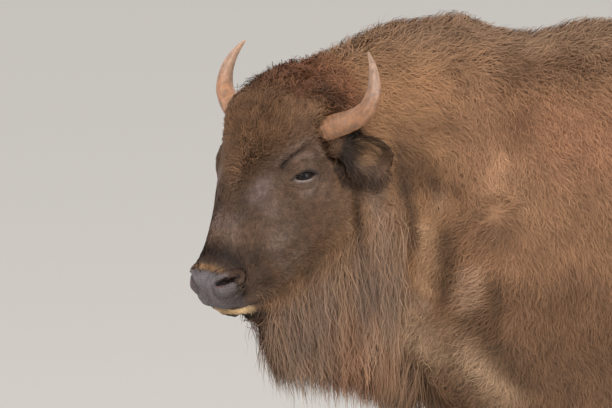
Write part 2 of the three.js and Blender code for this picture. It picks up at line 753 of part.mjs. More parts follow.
// ---- Feet: two claws and two dewclaws each, about the foot's own middle ----
// A claw is a half moon, nearly straight along the cleft. The sole is flat, and the upper edge slopes.
const SOLE = { middle: -22, half: CLAW_LENGTH / 2, wide: CLAW_WIDTH };
const UPPER_EDGE = { middle: 6, half: 38, wide: CLAW_WIDTH * 0.92 };
const CLEFT = 4;

function clawSolid(side) {
  const around = 9;
  const ringAt = (t) =>
    Array.from({ length: around }, (_, s) => {
      const turn = (2 * PI * s) / around;
      const half = lerp(SOLE.half, UPPER_EDGE.half, t);
      const wide = lerp(SOLE.wide, UPPER_EDGE.wide, t) * (1 - 0.12 * cos(turn));
      const x = lerp(SOLE.middle, UPPER_EDGE.middle, t) - half * cos(turn);
      const out = sin(turn) > 0 ? 0.35 + 0.65 * sin(turn) : 0.35 * (1 + sin(turn) * abs(sin(turn)));
      const slope = (x - UPPER_EDGE.middle) / (2 * UPPER_EDGE.half) + 0.5;
      const z = lerp(CORONET_AT_TOE, CORONET_AT_HEEL, slope) * t;
      return new THREE.Vector3(x, CLEFT / 2 + wide * out, z);
    }).reverse();
  const rings = [0, 0.5, 1].map(ringAt);
  const mirrored = rings.map((ring) => ring.map((point) => point.clone().setY(-point.y)).reverse());
  return solidOf(stack(side > 0 ? rings : mirrored));
}

function dewclawSolid(side, grow) {
  const around = 6;
  const ringAt = (t) => {
    const radius = lerp(13, 6, t) + grow;
    const middle = new THREE.Vector3(36 + 24 * t + grow * t, side * (21 + 3 * t), 138 - 34 * t);
    return Array.from({ length: around }, (_, s) => {
      const turn = (2 * PI * s) / around;
      const [across, along] = [-radius * sin(turn), radius * cos(turn)];
      return new THREE.Vector3(0.82 * along, across, 0.58 * along).add(middle);
    });
  };
  return solidOf(stack([ringAt(0), ringAt(0.6), ringAt(1)]));
}

const coronet = new THREE.Plane().setFromNormalAndCoplanarPoint(
  new THREE.Vector3(CORONET_AT_TOE - CORONET_AT_HEEL, 0, 2 * UPPER_EDGE.half).normalize(),
  new THREE.Vector3(UPPER_EDGE.middle, 0, (CORONET_AT_TOE + CORONET_AT_HEEL) / 2),
);
const KNEE = { fore: 525, hind: 660 }; // where each leg is parted, just over the knee or hock
const LEG_NAMES = { fore: ["forearm", "forecannon"], hind: ["thigh", "hindcannon"] };

for (const leg of LEGS) {
  const { name, pair, x, side, shift } = leg;
  const foot = new THREE.Matrix4().makeTranslation(x + shift, side * TRACK, 0);
  const overKnee = new THREE.Plane(new THREE.Vector3(0, 0, 1), -KNEE[pair]);
  const coronetHere = coronet.clone().applyMatrix4(foot);
  const [upper, lower] = part(bodyBlock.intersect(legRoom(leg, GAP / 2)), overKnee);
  const [upperName, lowerName] = LEG_NAMES[pair];
  addPart(bison, name.replace(pair, upperName), upper, LEG);
  let [cannon] = part(lower, coronetHere);
  for (const toe of [-1, 1]) {
    cannon = cannon.subtract(dewclawSolid(toe, GAP).transform(foot.elements));
    const digit = toe === side ? "outer" : "inner";
    addPart(bison, `claw_${name}_${digit}`, clawSolid(toe).transform(foot.elements), HOOF);
    addPart(bison, `dewclaw_${name}_${digit}`, dewclawSolid(toe, 0).transform(foot.elements), HOOF);
  }
  addPart(bison, name.replace(pair, lowerName), cannon, LEG);
}

// The middle of the whole model's footprint is the origin.
const extent = new THREE.Box3().setFromObject(bison, true);
const footprint = extent.getCenter(new THREE.Vector3()).setZ(extent.min.z);
bison.position.sub(footprint);

export default bison;
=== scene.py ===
"""A life-size European bison cow in her winter coat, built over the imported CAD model.

One skin replaces all the solids of flesh. It is the outer surface of those solids, smoothed, drawn in
by the depth of the coat, and given the folds of the face. Over it lie the tufts of the coat, thin
ribbons that follow the lie of the hair. Eyes, horns and hooves are pieces of their own.
Metres, in the frame of the CAD: she faces -X, her left is -Y.
"""
import math

import bpy
import numpy as np
import openvdb
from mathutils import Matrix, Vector


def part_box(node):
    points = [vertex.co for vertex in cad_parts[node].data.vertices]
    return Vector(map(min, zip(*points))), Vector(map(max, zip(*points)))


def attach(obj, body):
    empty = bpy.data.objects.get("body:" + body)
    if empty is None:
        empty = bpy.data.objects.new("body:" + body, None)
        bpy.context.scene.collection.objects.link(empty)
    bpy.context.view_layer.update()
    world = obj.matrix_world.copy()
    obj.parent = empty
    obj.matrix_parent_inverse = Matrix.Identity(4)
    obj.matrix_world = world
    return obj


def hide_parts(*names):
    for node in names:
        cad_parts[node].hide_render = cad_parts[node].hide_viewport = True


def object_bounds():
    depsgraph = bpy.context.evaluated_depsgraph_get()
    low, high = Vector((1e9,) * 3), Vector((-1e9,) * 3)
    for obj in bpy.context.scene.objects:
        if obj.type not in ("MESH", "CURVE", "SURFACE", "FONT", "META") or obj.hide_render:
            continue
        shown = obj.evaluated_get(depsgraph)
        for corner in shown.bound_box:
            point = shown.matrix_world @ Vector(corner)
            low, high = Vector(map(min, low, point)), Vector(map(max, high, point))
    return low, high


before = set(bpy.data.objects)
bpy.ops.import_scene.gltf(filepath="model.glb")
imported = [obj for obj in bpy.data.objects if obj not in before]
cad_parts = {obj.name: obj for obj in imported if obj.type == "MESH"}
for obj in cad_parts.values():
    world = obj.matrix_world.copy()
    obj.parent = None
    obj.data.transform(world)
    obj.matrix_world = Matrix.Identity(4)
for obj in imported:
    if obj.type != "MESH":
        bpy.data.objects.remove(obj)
CAD_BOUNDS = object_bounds()
NODES = sorted(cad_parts)
HORNS = [name for name in NODES if name.startswith("horn")]
CLAWS = [name for name in NODES if "claw" in name]
EYES = [name for name in NODES if name.startswith("eye")]
EARS = [name for name in NODES if name.startswith("ear")]
# The solids whose outer surface the skin follows: its ears have a form of their own.
FLESH = [name for name in NODES if name not in HORNS + CLAWS + EARS]

# ---- Sizes, metres ----
VOXEL = 0.007  # of the field made from the CAD's solids
FINE = 0.0031  # between the planes of the skin's grid at the head
COARSE = 0.024  # and everywhere else
GROWTH = 1.35  # of the gap from one plane to the next between the two
BAND = 0.11  # how far the field is known on either side of the surface
MARGIN = 0.06  # of the field's box around the solids
HEAD_PITCH = math.radians(55.6)  # of the face below the horizontal
EYE_IN_HEAD = np.array([0.100, 0.003, -0.034])  # of the right eye, in the head's frame
EYE_RADIUS = 0.0225
LID_THICKNESS = 0.0035
EAR_LENGTH = 0.101
SUNK_IN_HOOF = 0.034  # how far the skin's feet reach below the solids' own
ROOT_DEPTH = 0.0015  # of each tuft's root under the skin
PATCH_LENGTH, PATCH_WIDTH = 0.003, 0.0028  # of a tuft on the map OFBake
UNDER_COAT = 0.94  # how light the skin is against the tufts

rng = np.random.default_rng(7)


# ---- Small numeric helpers ----
def unit(vectors):
    """The vectors along the last axis, each with length 1."""
    return vectors / np.maximum(np.linalg.norm(vectors, axis=-1, keepdims=True), 1e-9)


def step(values, low, high):
    """0 up to low, 1 from high on, and smooth between. low may be the larger."""
    t = np.clip((values - low) / (high - low), 0, 1)
    return t * t * (3 - 2 * t)


def bump(values, middle, width):
    """1 at the middle, falling off over about the width."""
    return np.exp(-(((values - middle) / width) ** 2))


def smooth_min(a, b, width):
    near = np.maximum(width - np.abs(a - b), 0) / width
    return np.minimum(a, b) - near * near * width / 4


def smooth_max(a, b, width):
    return -smooth_min(-a, -b, width)


def rods(points, *stations):
    """The distance to a chain of tapering rods through stations, each a place and a radius."""
    distance = None
    for start, end in zip(stations, stations[1:]):
        along = np.subtract(end[:-1], start[:-1])
        t = np.clip((points - start[:-1]) @ along / (along @ along), 0, 1)
        gap = np.linalg.norm(points - start[:-1] - t[..., None] * along, axis=-1)
        gap = gap - (start[-1] + t * (end[-1] - start[-1]))
        distance = gap if distance is None else np.minimum(distance, gap)
    return distance


def lattice(cells, seed):
    """A number in 0..1 for each whole-number cell, the same one every time."""
    mixed = cells[..., 0] * 374761393 + cells[..., 1] * 668265263 + cells[..., 2] * 2246822519
    mixed = (mixed + seed * 3266489917) & 0xFFFFFFFF
    mixed = ((mixed ^ (mixed >> 13)) * 1274126177) & 0xFFFFFFFF
    return ((mixed ^ (mixed >> 16)) & 0xFFFFFF) / 0xFFFFFF


def noise(points, size, seed=0):
    """Smooth noise in -1..1 whose waves are about the given size."""
    cells = points / size
    low = np.floor(cells).astype(np.int64)
    t = cells - low
    t = t * t * (3 - 2 * t)
    total = 0
    for corner in np.ndindex(2, 2, 2):
        weight = np.prod(np.where(corner, t, 1 - t), axis=-1)
        total = total + weight * lattice(low + np.array(corner), seed)
    return 2 * total - 1


# ---- Landmarks ----
def middle(node):
    low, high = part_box(node)
    return np.array((low + high) / 2)


def lowest(node):
    return np.array(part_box(node)[0])


def highest(node):
    return np.array(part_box(node)[1])


TO_HER_RIGHT = unit(middle("eye_right") - middle("eye_left"))
AHEAD = np.array([-TO_HER_RIGHT[1], TO_HER_RIGHT[0], 0.0])
UP = np.array([0.0, 0.0, 1.0])
DOWN_FACE = AHEAD * math.cos(HEAD_PITCH) - UP * math.sin(HEAD_PITCH)
OUT_OF_FOREHEAD = AHEAD * math.sin(HEAD_PITCH) + UP * math.cos(HEAD_PITCH)
HEAD_AXES = np.stack([TO_HER_RIGHT, DOWN_FACE, OUT_OF_FOREHEAD])
EYES_MIDDLE = (middle("eye_left") + middle("eye_right")) / 2
BETWEEN_EYES = EYES_MIDDLE - EYE_IN_HEAD[1] * DOWN_FACE - EYE_IN_HEAD[2] * OUT_OF_FOREHEAD

MID_Y = middle("tail")[1]
NECK_BACK = lowest("shoulders")[0]
WITHERS_BACK = highest("shoulders")[0]
LOIN = lowest("rump")[0]
TAIL_ROOT = highest("rump")[0]
TUFT_TOP = highest("tail_tuft")[2]


def in_head(points):
    """Points in the head's frame: X to her right, Y down the face, Z out of the forehead."""
    return (points - BETWEEN_EYES) @ HEAD_AXES.T


def mirrored_in_head(points):
    """The same, with her left side folded onto the right."""
    local = in_head(points)
    local[..., 0] = np.abs(local[..., 0])
    return local


def from_head(local, side):
    """Places from the head's frame, mirrored for side -1."""
    return BETWEEN_EYES + (local * np.array([side, 1, 1])) @ HEAD_AXES


# ---- Where on her body a point lies ----
JAW_CORNER = np.array([0, -0.060, -0.225])  # where the collar's plane and the jaw's cross


def ahead_of_collar(local):
    """How far in front of the plane behind the ears that parts head from neck."""
    return (local - JAW_CORNER) @ np.array([0, 0.876, 0.483])


def above_jaw(local):
    """How far above the plane along the lower edge of the jaw."""
    return (local - JAW_CORNER) @ np.array([0, -0.263, 0.965])


def throat_height(x):
    """The height below which the throat mane is all hair, at a place along her length."""
    x = x - NECK_BACK
    places = [-0.50, -0.46, -0.30, -0.15, -0.05, 0.04, 0.15]
    return np.interp(x, places, [0.95, 1.08, 1.06, 1.02, 0.96, 0.84, 0.5])


# ---- The field of the CAD's outer surface ----
def mesh_arrays(nodes):
    """Points and triangles of some CAD nodes, as one pair of arrays."""
    points, triangles, start = [], [], 0
    for name in nodes:
        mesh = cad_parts[name].data
        mesh.calc_loop_triangles()
        place = np.empty(len(mesh.vertices) * 3, np.float32)
        mesh.vertices.foreach_get("co", place)
        corner = np.empty(len(mesh.loop_triangles) * 3, np.int32)
        mesh.loop_triangles.foreach_get("vertices", corner)
        points.append(place.reshape(-1, 3))
        triangles.append(corner.reshape(-1, 3) + start)
        start += len(mesh.vertices)
    return np.concatenate(points), np.concatenate(triangles).astype(np.uint32)


def outer_field(nodes, voxel):
    """(place of the first value, the distance outside the nodes' outer surface on a cubic grid)."""
    points, triangles = mesh_arrays(nodes)
    transform = openvdb.createLinearTransform(voxelSize=voxel)
    cut = openvdb.FloatGrid.createLevelSetFromPolygons(points, triangles=triangles, transform=transform)
    # A hair outside the surface, the thin cuts between the nodes are closed.
    points, quads = cut.convertToQuads(isovalue=0.1 * voxel)
    whole = openvdb.FloatGrid.createLevelSetFromPolygons(
        points, quads=quads, transform=transform, halfWidth=BAND / voxel
    )
    first = np.floor((points.min(0) - MARGIN) / voxel).astype(int)
    last = np.ceil((points.max(0) + MARGIN) / voxel).astype(int)
    values = np.empty(last - first + 1, np.float32)
    whole.copyToArray(values, ijk=tuple(int(v) for v in first))
    return first * voxel, values


def blurred(values, reach):
    """Three running means of 2 * reach + 1 values along each axis."""
    width = 2 * reach + 1
    for axis in range(3):
        for _ in range(3):
            pad = [(reach + 1, reach) if n == axis else (0, 0) for n in range(3)]
            total = np.cumsum(np.pad(values, pad, "edge"), axis=axis, dtype=np.float64)
            count = values.shape[axis]
            ahead = np.take(total, np.arange(width, width + count), axis)
            behind = np.take(total, np.arange(count), axis)
            values = ((ahead - behind) / width).astype(np.float32)
    return values


def graded(low, high, fine_low, fine_high):
    """Places from low to high, FINE apart inside the fine range and growing to COARSE outside."""
    def outward(start, end):
        places, gap = [start], FINE
        while abs(places[-1] - start) < abs(end - start):
            gap = min(gap * GROWTH, COARSE)
            places.append(places[-1] + math.copysign(gap, end - start))
        return places[1:]

    inner = np.arange(fine_low, fine_high, FINE)
    return np.array(outward(inner[0], low)[::-1] + list(inner) + outward(inner[-1], high))


def resampled(values, first, voxel, planes):
    """A grid's cubic B-spline, at the crossings of other planes."""
    for axis, places in enumerate(planes):
        cell = (places - first[axis]) / voxel
        low = np.floor(cell).astype(int)
        t = cell - low
        weights = (
            (1 - t) ** 3 / 6,
            (3 * t**3 - 6 * t**2 + 4) / 6,
            (-3 * t**3 + 3 * t**2 + 3 * t + 1) / 6,
            t**3 / 6,
        )
        shape = [-1 if n == axis else 1 for n in range(3)]
        values = sum(
            np.take(values, low + n - 1, axis, mode="clip") * weight.astype(np.float32).reshape(shape)
            for n, weight in enumerate(weights)
        )
    return values


# ---- The face's forms, in the head's frame. Each changes the distances at local points. ----
EYE_AXIS = unit(np.array([0.90, 0.05, 0.43]))
SLIT_BACKWARD = unit(np.cross(EYE_AXIS, HEAD_AXES @ UP))
SLIT_UPWARD = np.cross(SLIT_BACKWARD, EYE_AXIS)
SLIT_RISE = 0.11  # radians, of its back corner
SLIT_BACKWARD, SLIT_UPWARD = (
    SLIT_BACKWARD * math.cos(SLIT_RISE) + SLIT_UPWARD * math.sin(SLIT_RISE),
    SLIT_UPWARD * math.cos(SLIT_RISE) - SLIT_BACKWARD * math.sin(SLIT_RISE),
)
EYE_AXES = np.stack([SLIT_BACKWARD, SLIT_UPWARD, EYE_AXIS])
SLIT_HALF, SLIT_OPEN = 0.0275, 0.0085  # half its length, and how high it opens over its middle
EYE_CENTRE = EYE_IN_HEAD + np.array([0.0035, -0.0018, -0.0035])
NOSTRIL = [(0.038, 0.278, -0.009, 0.0054), (0.046, 0.269, -0.012, 0.0064),
           (0.055, 0.257, -0.018, 0.0057), (0.063, 0.243, -0.031, 0.0042)]
NOSTRIL_PAD = [(0.043, 0.289, -0.022, 0), (0.056, 0.275, -0.035, 0)]  # the rounded flap under it
MOUTH = [(0.0, 0.311, -0.060), (0.018, 0.310, -0.064), (0.030, 0.300, -0.082), (0.033, 0.284, -0.108),
         (0.040, 0.260, -0.131), (0.050, 0.236, -0.144), (0.058, 0.212, -0.144)]


def under_mouth(local):
    """How far a point of the muzzle is below the line of the mouth."""
    line = np.array(MOUTH)[::-1]
    return np.interp(local[..., 1], line[:, 1], line[:, 2]) - local[..., 2]


def in_eye(local):
    """Points in the near eye's frame: backward along the slit, upward across it, and outward."""
    return (local - EYE_CENTRE) @ EYE_AXES.T


# The long crease under the brow, in the eye's frame.
BROW = [(-0.047, 0.029), (-0.029, 0.043), (-0.006, 0.053), (0.011, 0.059), (0.023, 0.057), (0.032, 0.043),
        (0.034, 0.026)]


def from_brow(back, up, outward):
    """The distance to the crease of the brow, or to a line that runs outward from it."""
    line = []
    for x, y in BROW:
        stretch = 1 + outward / math.hypot(x, y)
        line.append((x * stretch, y * stretch, 0))
    return rods(np.stack([back, up], axis=-1), *line)


def lid_height(back):
    """How far from the slit's line the edge of either lid is."""
    return SLIT_OPEN * (1 - (back / SLIT_HALF) ** 2)


def eye_forms(distance, local):
    back, up, out = np.moveaxis(in_eye(local), -1, 0)
    around = np.hypot(back, up)
    turn = np.arctan2(up, back)
    facing = step(out, -0.02, 0.005)
    # The brow's ridge over a long hollow, and the light, full upper lid under it.
    distance = distance - 0.0035 * bump(from_brow(back, up, 0.012), 0, 0.010) * facing
    fading = 0.35 + 0.65 * step(back, 0.022, -0.010)
    distance = distance + 0.0050 * fading * bump(from_brow(back, up, 0.0), 0, 0.0050) * facing

    def arc(radius, width, centre, spread):
        """1 along a stretch of a ring round the eye."""
        return bump(around, radius, width) * bump(turn, centre, spread) * facing

    distance = distance + 0.0070 * arc(0.044, 0.010, 2.45, 0.7) + 0.0040 * arc(0.043, 0.008, 0.2, 0.8)
    distance = distance - 0.0015 * arc(0.034, 0.008, 1.3, 0.8)
    lids = np.sqrt(back**2 + (up * 0.96) ** 2 + out**2) - EYE_RADIUS - LID_THICKNESS
    distance = smooth_min(distance, lids, 0.010)
    # The creases of the upper lid, of the bag under the eye, and of the lower lid.
    distance = distance + 0.0024 * arc(0.0290, 0.0030, 1.7, 1.3) + 0.0036 * arc(0.0420, 0.0050, -0.9, 1.1)
    distance = distance + 0.0018 * arc(0.0290, 0.0024, -1.4, 1.2) + 0.0014 * arc(0.0350, 0.0026, -2.2, 0.7)
    # The crease that runs down from the front corner.
    tear = rods(np.stack([back, up], axis=-1),
                (-0.020, -0.002, 0), (-0.034, -0.018, 0), (-0.040, -0.038, 0))
    distance = distance + 0.0035 * bump(tear, 0, 0.0045) * facing
    slit = np.maximum(np.abs(up + 0.0005 * (back / SLIT_HALF)) - lid_height(back), 0.006 - out) * 0.8
    return smooth_max(distance, -slit, 0.003)


def nostril_forms(distance, local):
    def moved(stations, inward, widened):
        return [tuple(np.subtract(place[:3], inward)) + (place[3] + widened,) for place in stations]

    gap = rods(local, *NOSTRIL)
    rim = rods(local, *moved(NOSTRIL, (0.006, 0.003, 0.009), 0.0070))
    corner = step(local[..., 0], 0.034, 0.056) * step(local[..., 1], 0.258, 0.284)
    distance = smooth_min(distance + 0.008 * corner, rim, 0.012)
    distance = smooth_max(distance, -gap, 0.004)
    deeper = rods(local, *moved(NOSTRIL[:3], (0.008, 0.004, 0.012), 0.001))
    distance = smooth_max(distance, -deeper, 0.004)
    pad = rods(local, *NOSTRIL_PAD)
    distance = distance - 0.0040 * bump(pad, 0, 0.0100) + 0.0028 * bump(pad, 0.0200, 0.0045)
    wing = step(local[..., 1], 0.275, 0.255)
    distance = distance + (0.0026 * bump(gap, 0.0150, 0.0032) + 0.0020 * bump(gap, 0.0260, 0.0036)) * wing
    fold = rods(local, (0.064, 0.222, -0.014, 0), (0.072, 0.238, -0.034, 0),
                (0.071, 0.258, -0.052, 0), (0.062, 0.278, -0.064, 0))
    distance = distance + 0.0022 * bump(fold, 0, 0.0060)
    # The groove down the middle of the nose and lip.
    front = step(local[..., 1], 0.262, 0.285)
    return distance + 0.003 * bump(local[..., 0], 0, 0.004) * front


def mouth_forms(distance, local):
    jaw = rods(local, (0.0, 0.240, -0.128, 0.032), (0.0, 0.274, -0.110, 0.028), (0.0, 0.288, -0.098, 0.020))
    distance = smooth_min(distance, jaw, 0.014)
    lips = rods(local, *[place + (0,) for place in MOUTH])
    distance = distance - 0.0022 * bump(lips, 0.012, 0.007)
    return smooth_max(distance, 0.0034 - lips, 0.003)


def cheek_forms(distance, local):
    """The face's long ridge, the hollow under it, and the veined edge of the cheek."""
    ridge = rods(local, (0.100, 0.040, -0.060, 0), (0.086, 0.110, -0.070, 0), (0.066, 0.170, -0.066, 0))
    distance = distance - 0.0045 * bump(ridge, 0, 0.016)
    hollow = rods(local, (0.070, 0.120, -0.020, 0), (0.056, 0.190, -0.024, 0))
    distance = distance + 0.005 * bump(hollow, 0, 0.022)
    under = rods(local, (0.095, 0.060, -0.125, 0), (0.070, 0.160, -0.110, 0))
    distance = distance + 0.004 * bump(under, 0, 0.024)
    from_horn = np.linalg.norm(local - np.array([0.126, -0.112, -0.031]), axis=-1)
    return distance - 0.010 * bump(from_horn, 0, 0.034)


EAR_ROOT = np.array([0.151, -0.090, -0.084])
EAR_AXIS = unit(np.array([0.70, -0.16, -0.68]))
EAR_FRONT = np.array([0.69, 0.41, 0.59])
EAR_FRONT = unit(EAR_FRONT - EAR_AXIS * (EAR_FRONT @ EAR_AXIS))
EAR_EDGE = np.cross(EAR_FRONT, EAR_AXIS)
EAR_AXES = np.stack([EAR_AXIS, EAR_EDGE, EAR_FRONT])
EAR_REACH = ((-0.05, 0.13), (-0.06, 0.06), (-0.05, 0.03))  # how far it extends each way, with room to spare


def in_ear(local):
    """Points along the ear from its root, across it, and out of its open front."""
    return (local - EAR_ROOT) @ EAR_AXES.T


def on_ear(local):
    """1 on the ear, 0 away from it."""
    along, across, out = np.moveaxis(in_ear(local), -1, 0)
    within = step(np.abs(out), 0.052, 0.044) * step(np.abs(across), 0.056, 0.048)
    return within * step(along, -0.020, -0.006) * step(along, 0.135, 0.120)


def ear_form(distance, local):
    along, across, out = np.moveaxis(in_ear(local), -1, 0)
    t = np.clip(along / EAR_LENGTH + 0.08, 0, 1)
    half = 0.008 + 0.030 * np.sin(np.pi * np.minimum(t * 0.9 + 0.06, 1)) ** 0.7
    thick = 0.0085 - 0.0045 * t
    bow = -0.026 * np.sin(np.pi * t) ** 0.8 * (1 - np.minimum(np.abs(across) / half, 1) ** 2)
    past_tip = np.maximum(along - EAR_LENGTH * 0.86, 0)
    past_edge = np.maximum(np.abs(across) - half + thick, 0)
    leaf = np.sqrt(past_tip**2 + past_edge**2 + ((out - bow) * 0.8) ** 2) - thick
    leaf = np.where(along < -0.045, 1.0, leaf)
    return smooth_min(distance, leaf, 0.012)


# ---- Folds of the neck and shoulder ----
# Each line runs through places behind the neck's end, left of her middle, and above the ground.
SHOULDER_FOLD = [(-0.021, 0.223, 1.364), (-0.002, 0.235, 1.259), (0.004, 0.231, 1.129),
                 (0.035, 0.258, 1.079), (0.108, 0.277, 0.907)]
NECK_FOLD = [(-0.198, 0.240, 1.370), (-0.192, 0.232, 1.210)]
THROAT_FOLD = [(-0.100, 0.224, 1.368), (-0.083, 0.227, 1.272), (-0.074, 0.205, 1.214),
               (-0.050, 0.185, 1.120)]


def neck_sway(x):
    """How far to her left the middle of the neck is, at a distance behind the neck's end."""
    return np.interp(x, [-0.30, -0.18, -0.09, 0.0], [0.090, 0.057, 0.024, 0.0])


def bent_side(points):
    """1 on her left, the side to which her neck is bent, and 0 on her right."""
    return step(points[:, 1] - MID_Y + neck_sway(points[:, 0] - NECK_BACK), 0.03, -0.03)


def body_folds(distance, points):
    x, _, z = points.T
    # Her back's line: two swells and the dip before them.
    for behind, raised, width in ((0.40, 0.014, 0.10), (0.090, 0.009, 0.05), (-0.010, -0.007, 0.05)):
        distance = distance - raised * bump(x - NECK_BACK, behind, width) * step(z, 1.45, 1.60)
    folded = 0.35 + 0.65 * bent_side(points)
    for line, depth, width in (
        (SHOULDER_FOLD, 0.024, 0.028), (NECK_FOLD, 0.016, 0.018), (THROAT_FOLD, 0.014, 0.020)
    ):
        for side in (1, -1):
            places = []
            for behind, out, height in line:
                sway = neck_sway(behind)
                places.append((NECK_BACK + behind, MID_Y - sway - side * (out - sway), height, 0))
            distance = distance + depth * folded * bump(rods(points, *places), 0, width)
    return distance


# ---- The zones of the coat ----
# tufts: how many. parts: of a tuft's length. depth: how far the skin lies inside the solids. length, width:
# of a tuft. stand: its height over the skin, as a share of the depth. hang: how far its weight draws it
# down. curl, wave: how far and over what length it sways. lock: the size of the locks that tufts gather
# into, and pull: how tightly. color: sRGB, 0-255.
FIELDS = ("tufts", "parts", "depth", "length", "width", "stand", "hang", "curl", "wave", "lock", "pull",
          "color")
ZONES = {
    "nose": (0, 2, 0.000, 0.004, 0.0012, 0.2, 0.0, 0.0, 0.02, 0.01, 0.0, (98, 89, 90)),
    "lid": (3000, 2, 0.0010, 0.007, 0.0014, 0.7, 0.0, 0.0, 0.02, 0.009, 0.1, (84, 66, 55)),
    "face": (58000, 2, 0.0035, 0.012, 0.0018, 0.7, 0.0, 0.0004, 0.02, 0.009, 0.22, (90, 68, 52)),
    "ear": (3500, 3, 0.003, 0.030, 0.0017, 1.8, 0.0, 0.0022, 0.03, 0.009, 0.3, (88, 67, 53)),
    "cup": (3000, 4, 0.002, 0.036, 0.0015, 2.4, 0.3, 0.0026, 0.04, 0.010, 0.4, (78, 60, 48)),
    "fringe": (2600, 6, 0.002, 0.036, 0.0015, 2.4, 0.85, 0.0030, 0.040, 0.010, 0.35, (82, 63, 50)),
    "wool": (26000, 3, 0.014, 0.028, 0.0017, 1.2, 0.0, 0.0045, 0.024, 0.011, 0.35, (112, 81, 57)),
    "poll": (11000, 4, 0.026, 0.060, 0.0018, 0.95, 0.0, 0.0085, 0.034, 0.022, 0.74, (106, 68, 46)),
    "beard": (17500, 6, 0.012, 0.210, 0.0013, 0.8, 0.9, 0.0060, 0.080, 0.016, 0.30, (148, 121, 99)),
    "neck": (60000, 2, 0.022, 0.036, 0.0014, 0.9, 0.0, 0.0055, 0.034, 0.014, 0.14, (155, 115, 81)),
    "crest": (24000, 3, 0.030, 0.060, 0.0015, 0.85, 0.0, 0.0055, 0.040, 0.017, 0.16, (142, 110, 84)),
    "shoulder": (62000, 2, 0.018, 0.032, 0.0013, 0.9, 0.0, 0.0038, 0.030, 0.014, 0.20, (150, 111, 81)),
    "back": (11000, 2, 0.018, 0.046, 0.0034, 0.8, 0.0, 0.0020, 0.040, 0.018, 0.25, (130, 100, 75)),
    "flank": (26000, 2, 0.015, 0.042, 0.0036, 0.8, 0.0, 0.0018, 0.040, 0.018, 0.25, (122, 91, 66)),
    "belly": (11000, 3, 0.018, 0.060, 0.0038, 0.9, 0.3, 0.0030, 0.040, 0.022, 0.40, (96, 71, 52)),
    "rump": (16000, 2, 0.013, 0.040, 0.0036, 0.8, 0.0, 0.0014, 0.040, 0.018, 0.28, (110, 83, 61)),
    "thigh": (15000, 2, 0.010, 0.032, 0.0036, 0.8, 0.0, 0.0008, 0.030, 0.016, 0.30, (88, 67, 51)),
    "shank": (20000, 2, 0.005, 0.018, 0.0028, 0.7, 0.0, 0.0004, 0.030, 0.012, 0.25, (62, 48, 40)),
    "hoof": (0, 2, 0.003, 0.010, 0.0020, 0.5, 0.0, 0.0, 0.030, 0.012, 0.0, (40, 34, 31)),
    "tail": (3500, 2, 0.010, 0.040, 0.0034, 0.8, 0.0, 0.0010, 0.030, 0.014, 0.35, (80, 61, 48)),
    "tuft": (5000, 5, 0.024, 0.170, 0.0042, 1.0, 0.9, 0.0050, 0.080, 0.020, 0.60, (50, 39, 33)),
}
# The zones lie in this order, each over those before it.
LAYERS = ("flank", "back", "rump", "shoulder", "belly", "neck", "crest", "thigh", "shank", "beard",
          "face", "wool", "poll", "nose", "lid", "ear", "cup", "fringe", "tail", "tuft", "hoof")


def coat_of(field):
    """One property of every zone, in order."""
    return np.array([row[FIELDS.index(field)] for row in ZONES.values()], float)


def in_zone(shares, name):
    """The column of one zone, from shares as zone_shares gives them."""
    return shares[:, list(ZONES).index(name)]


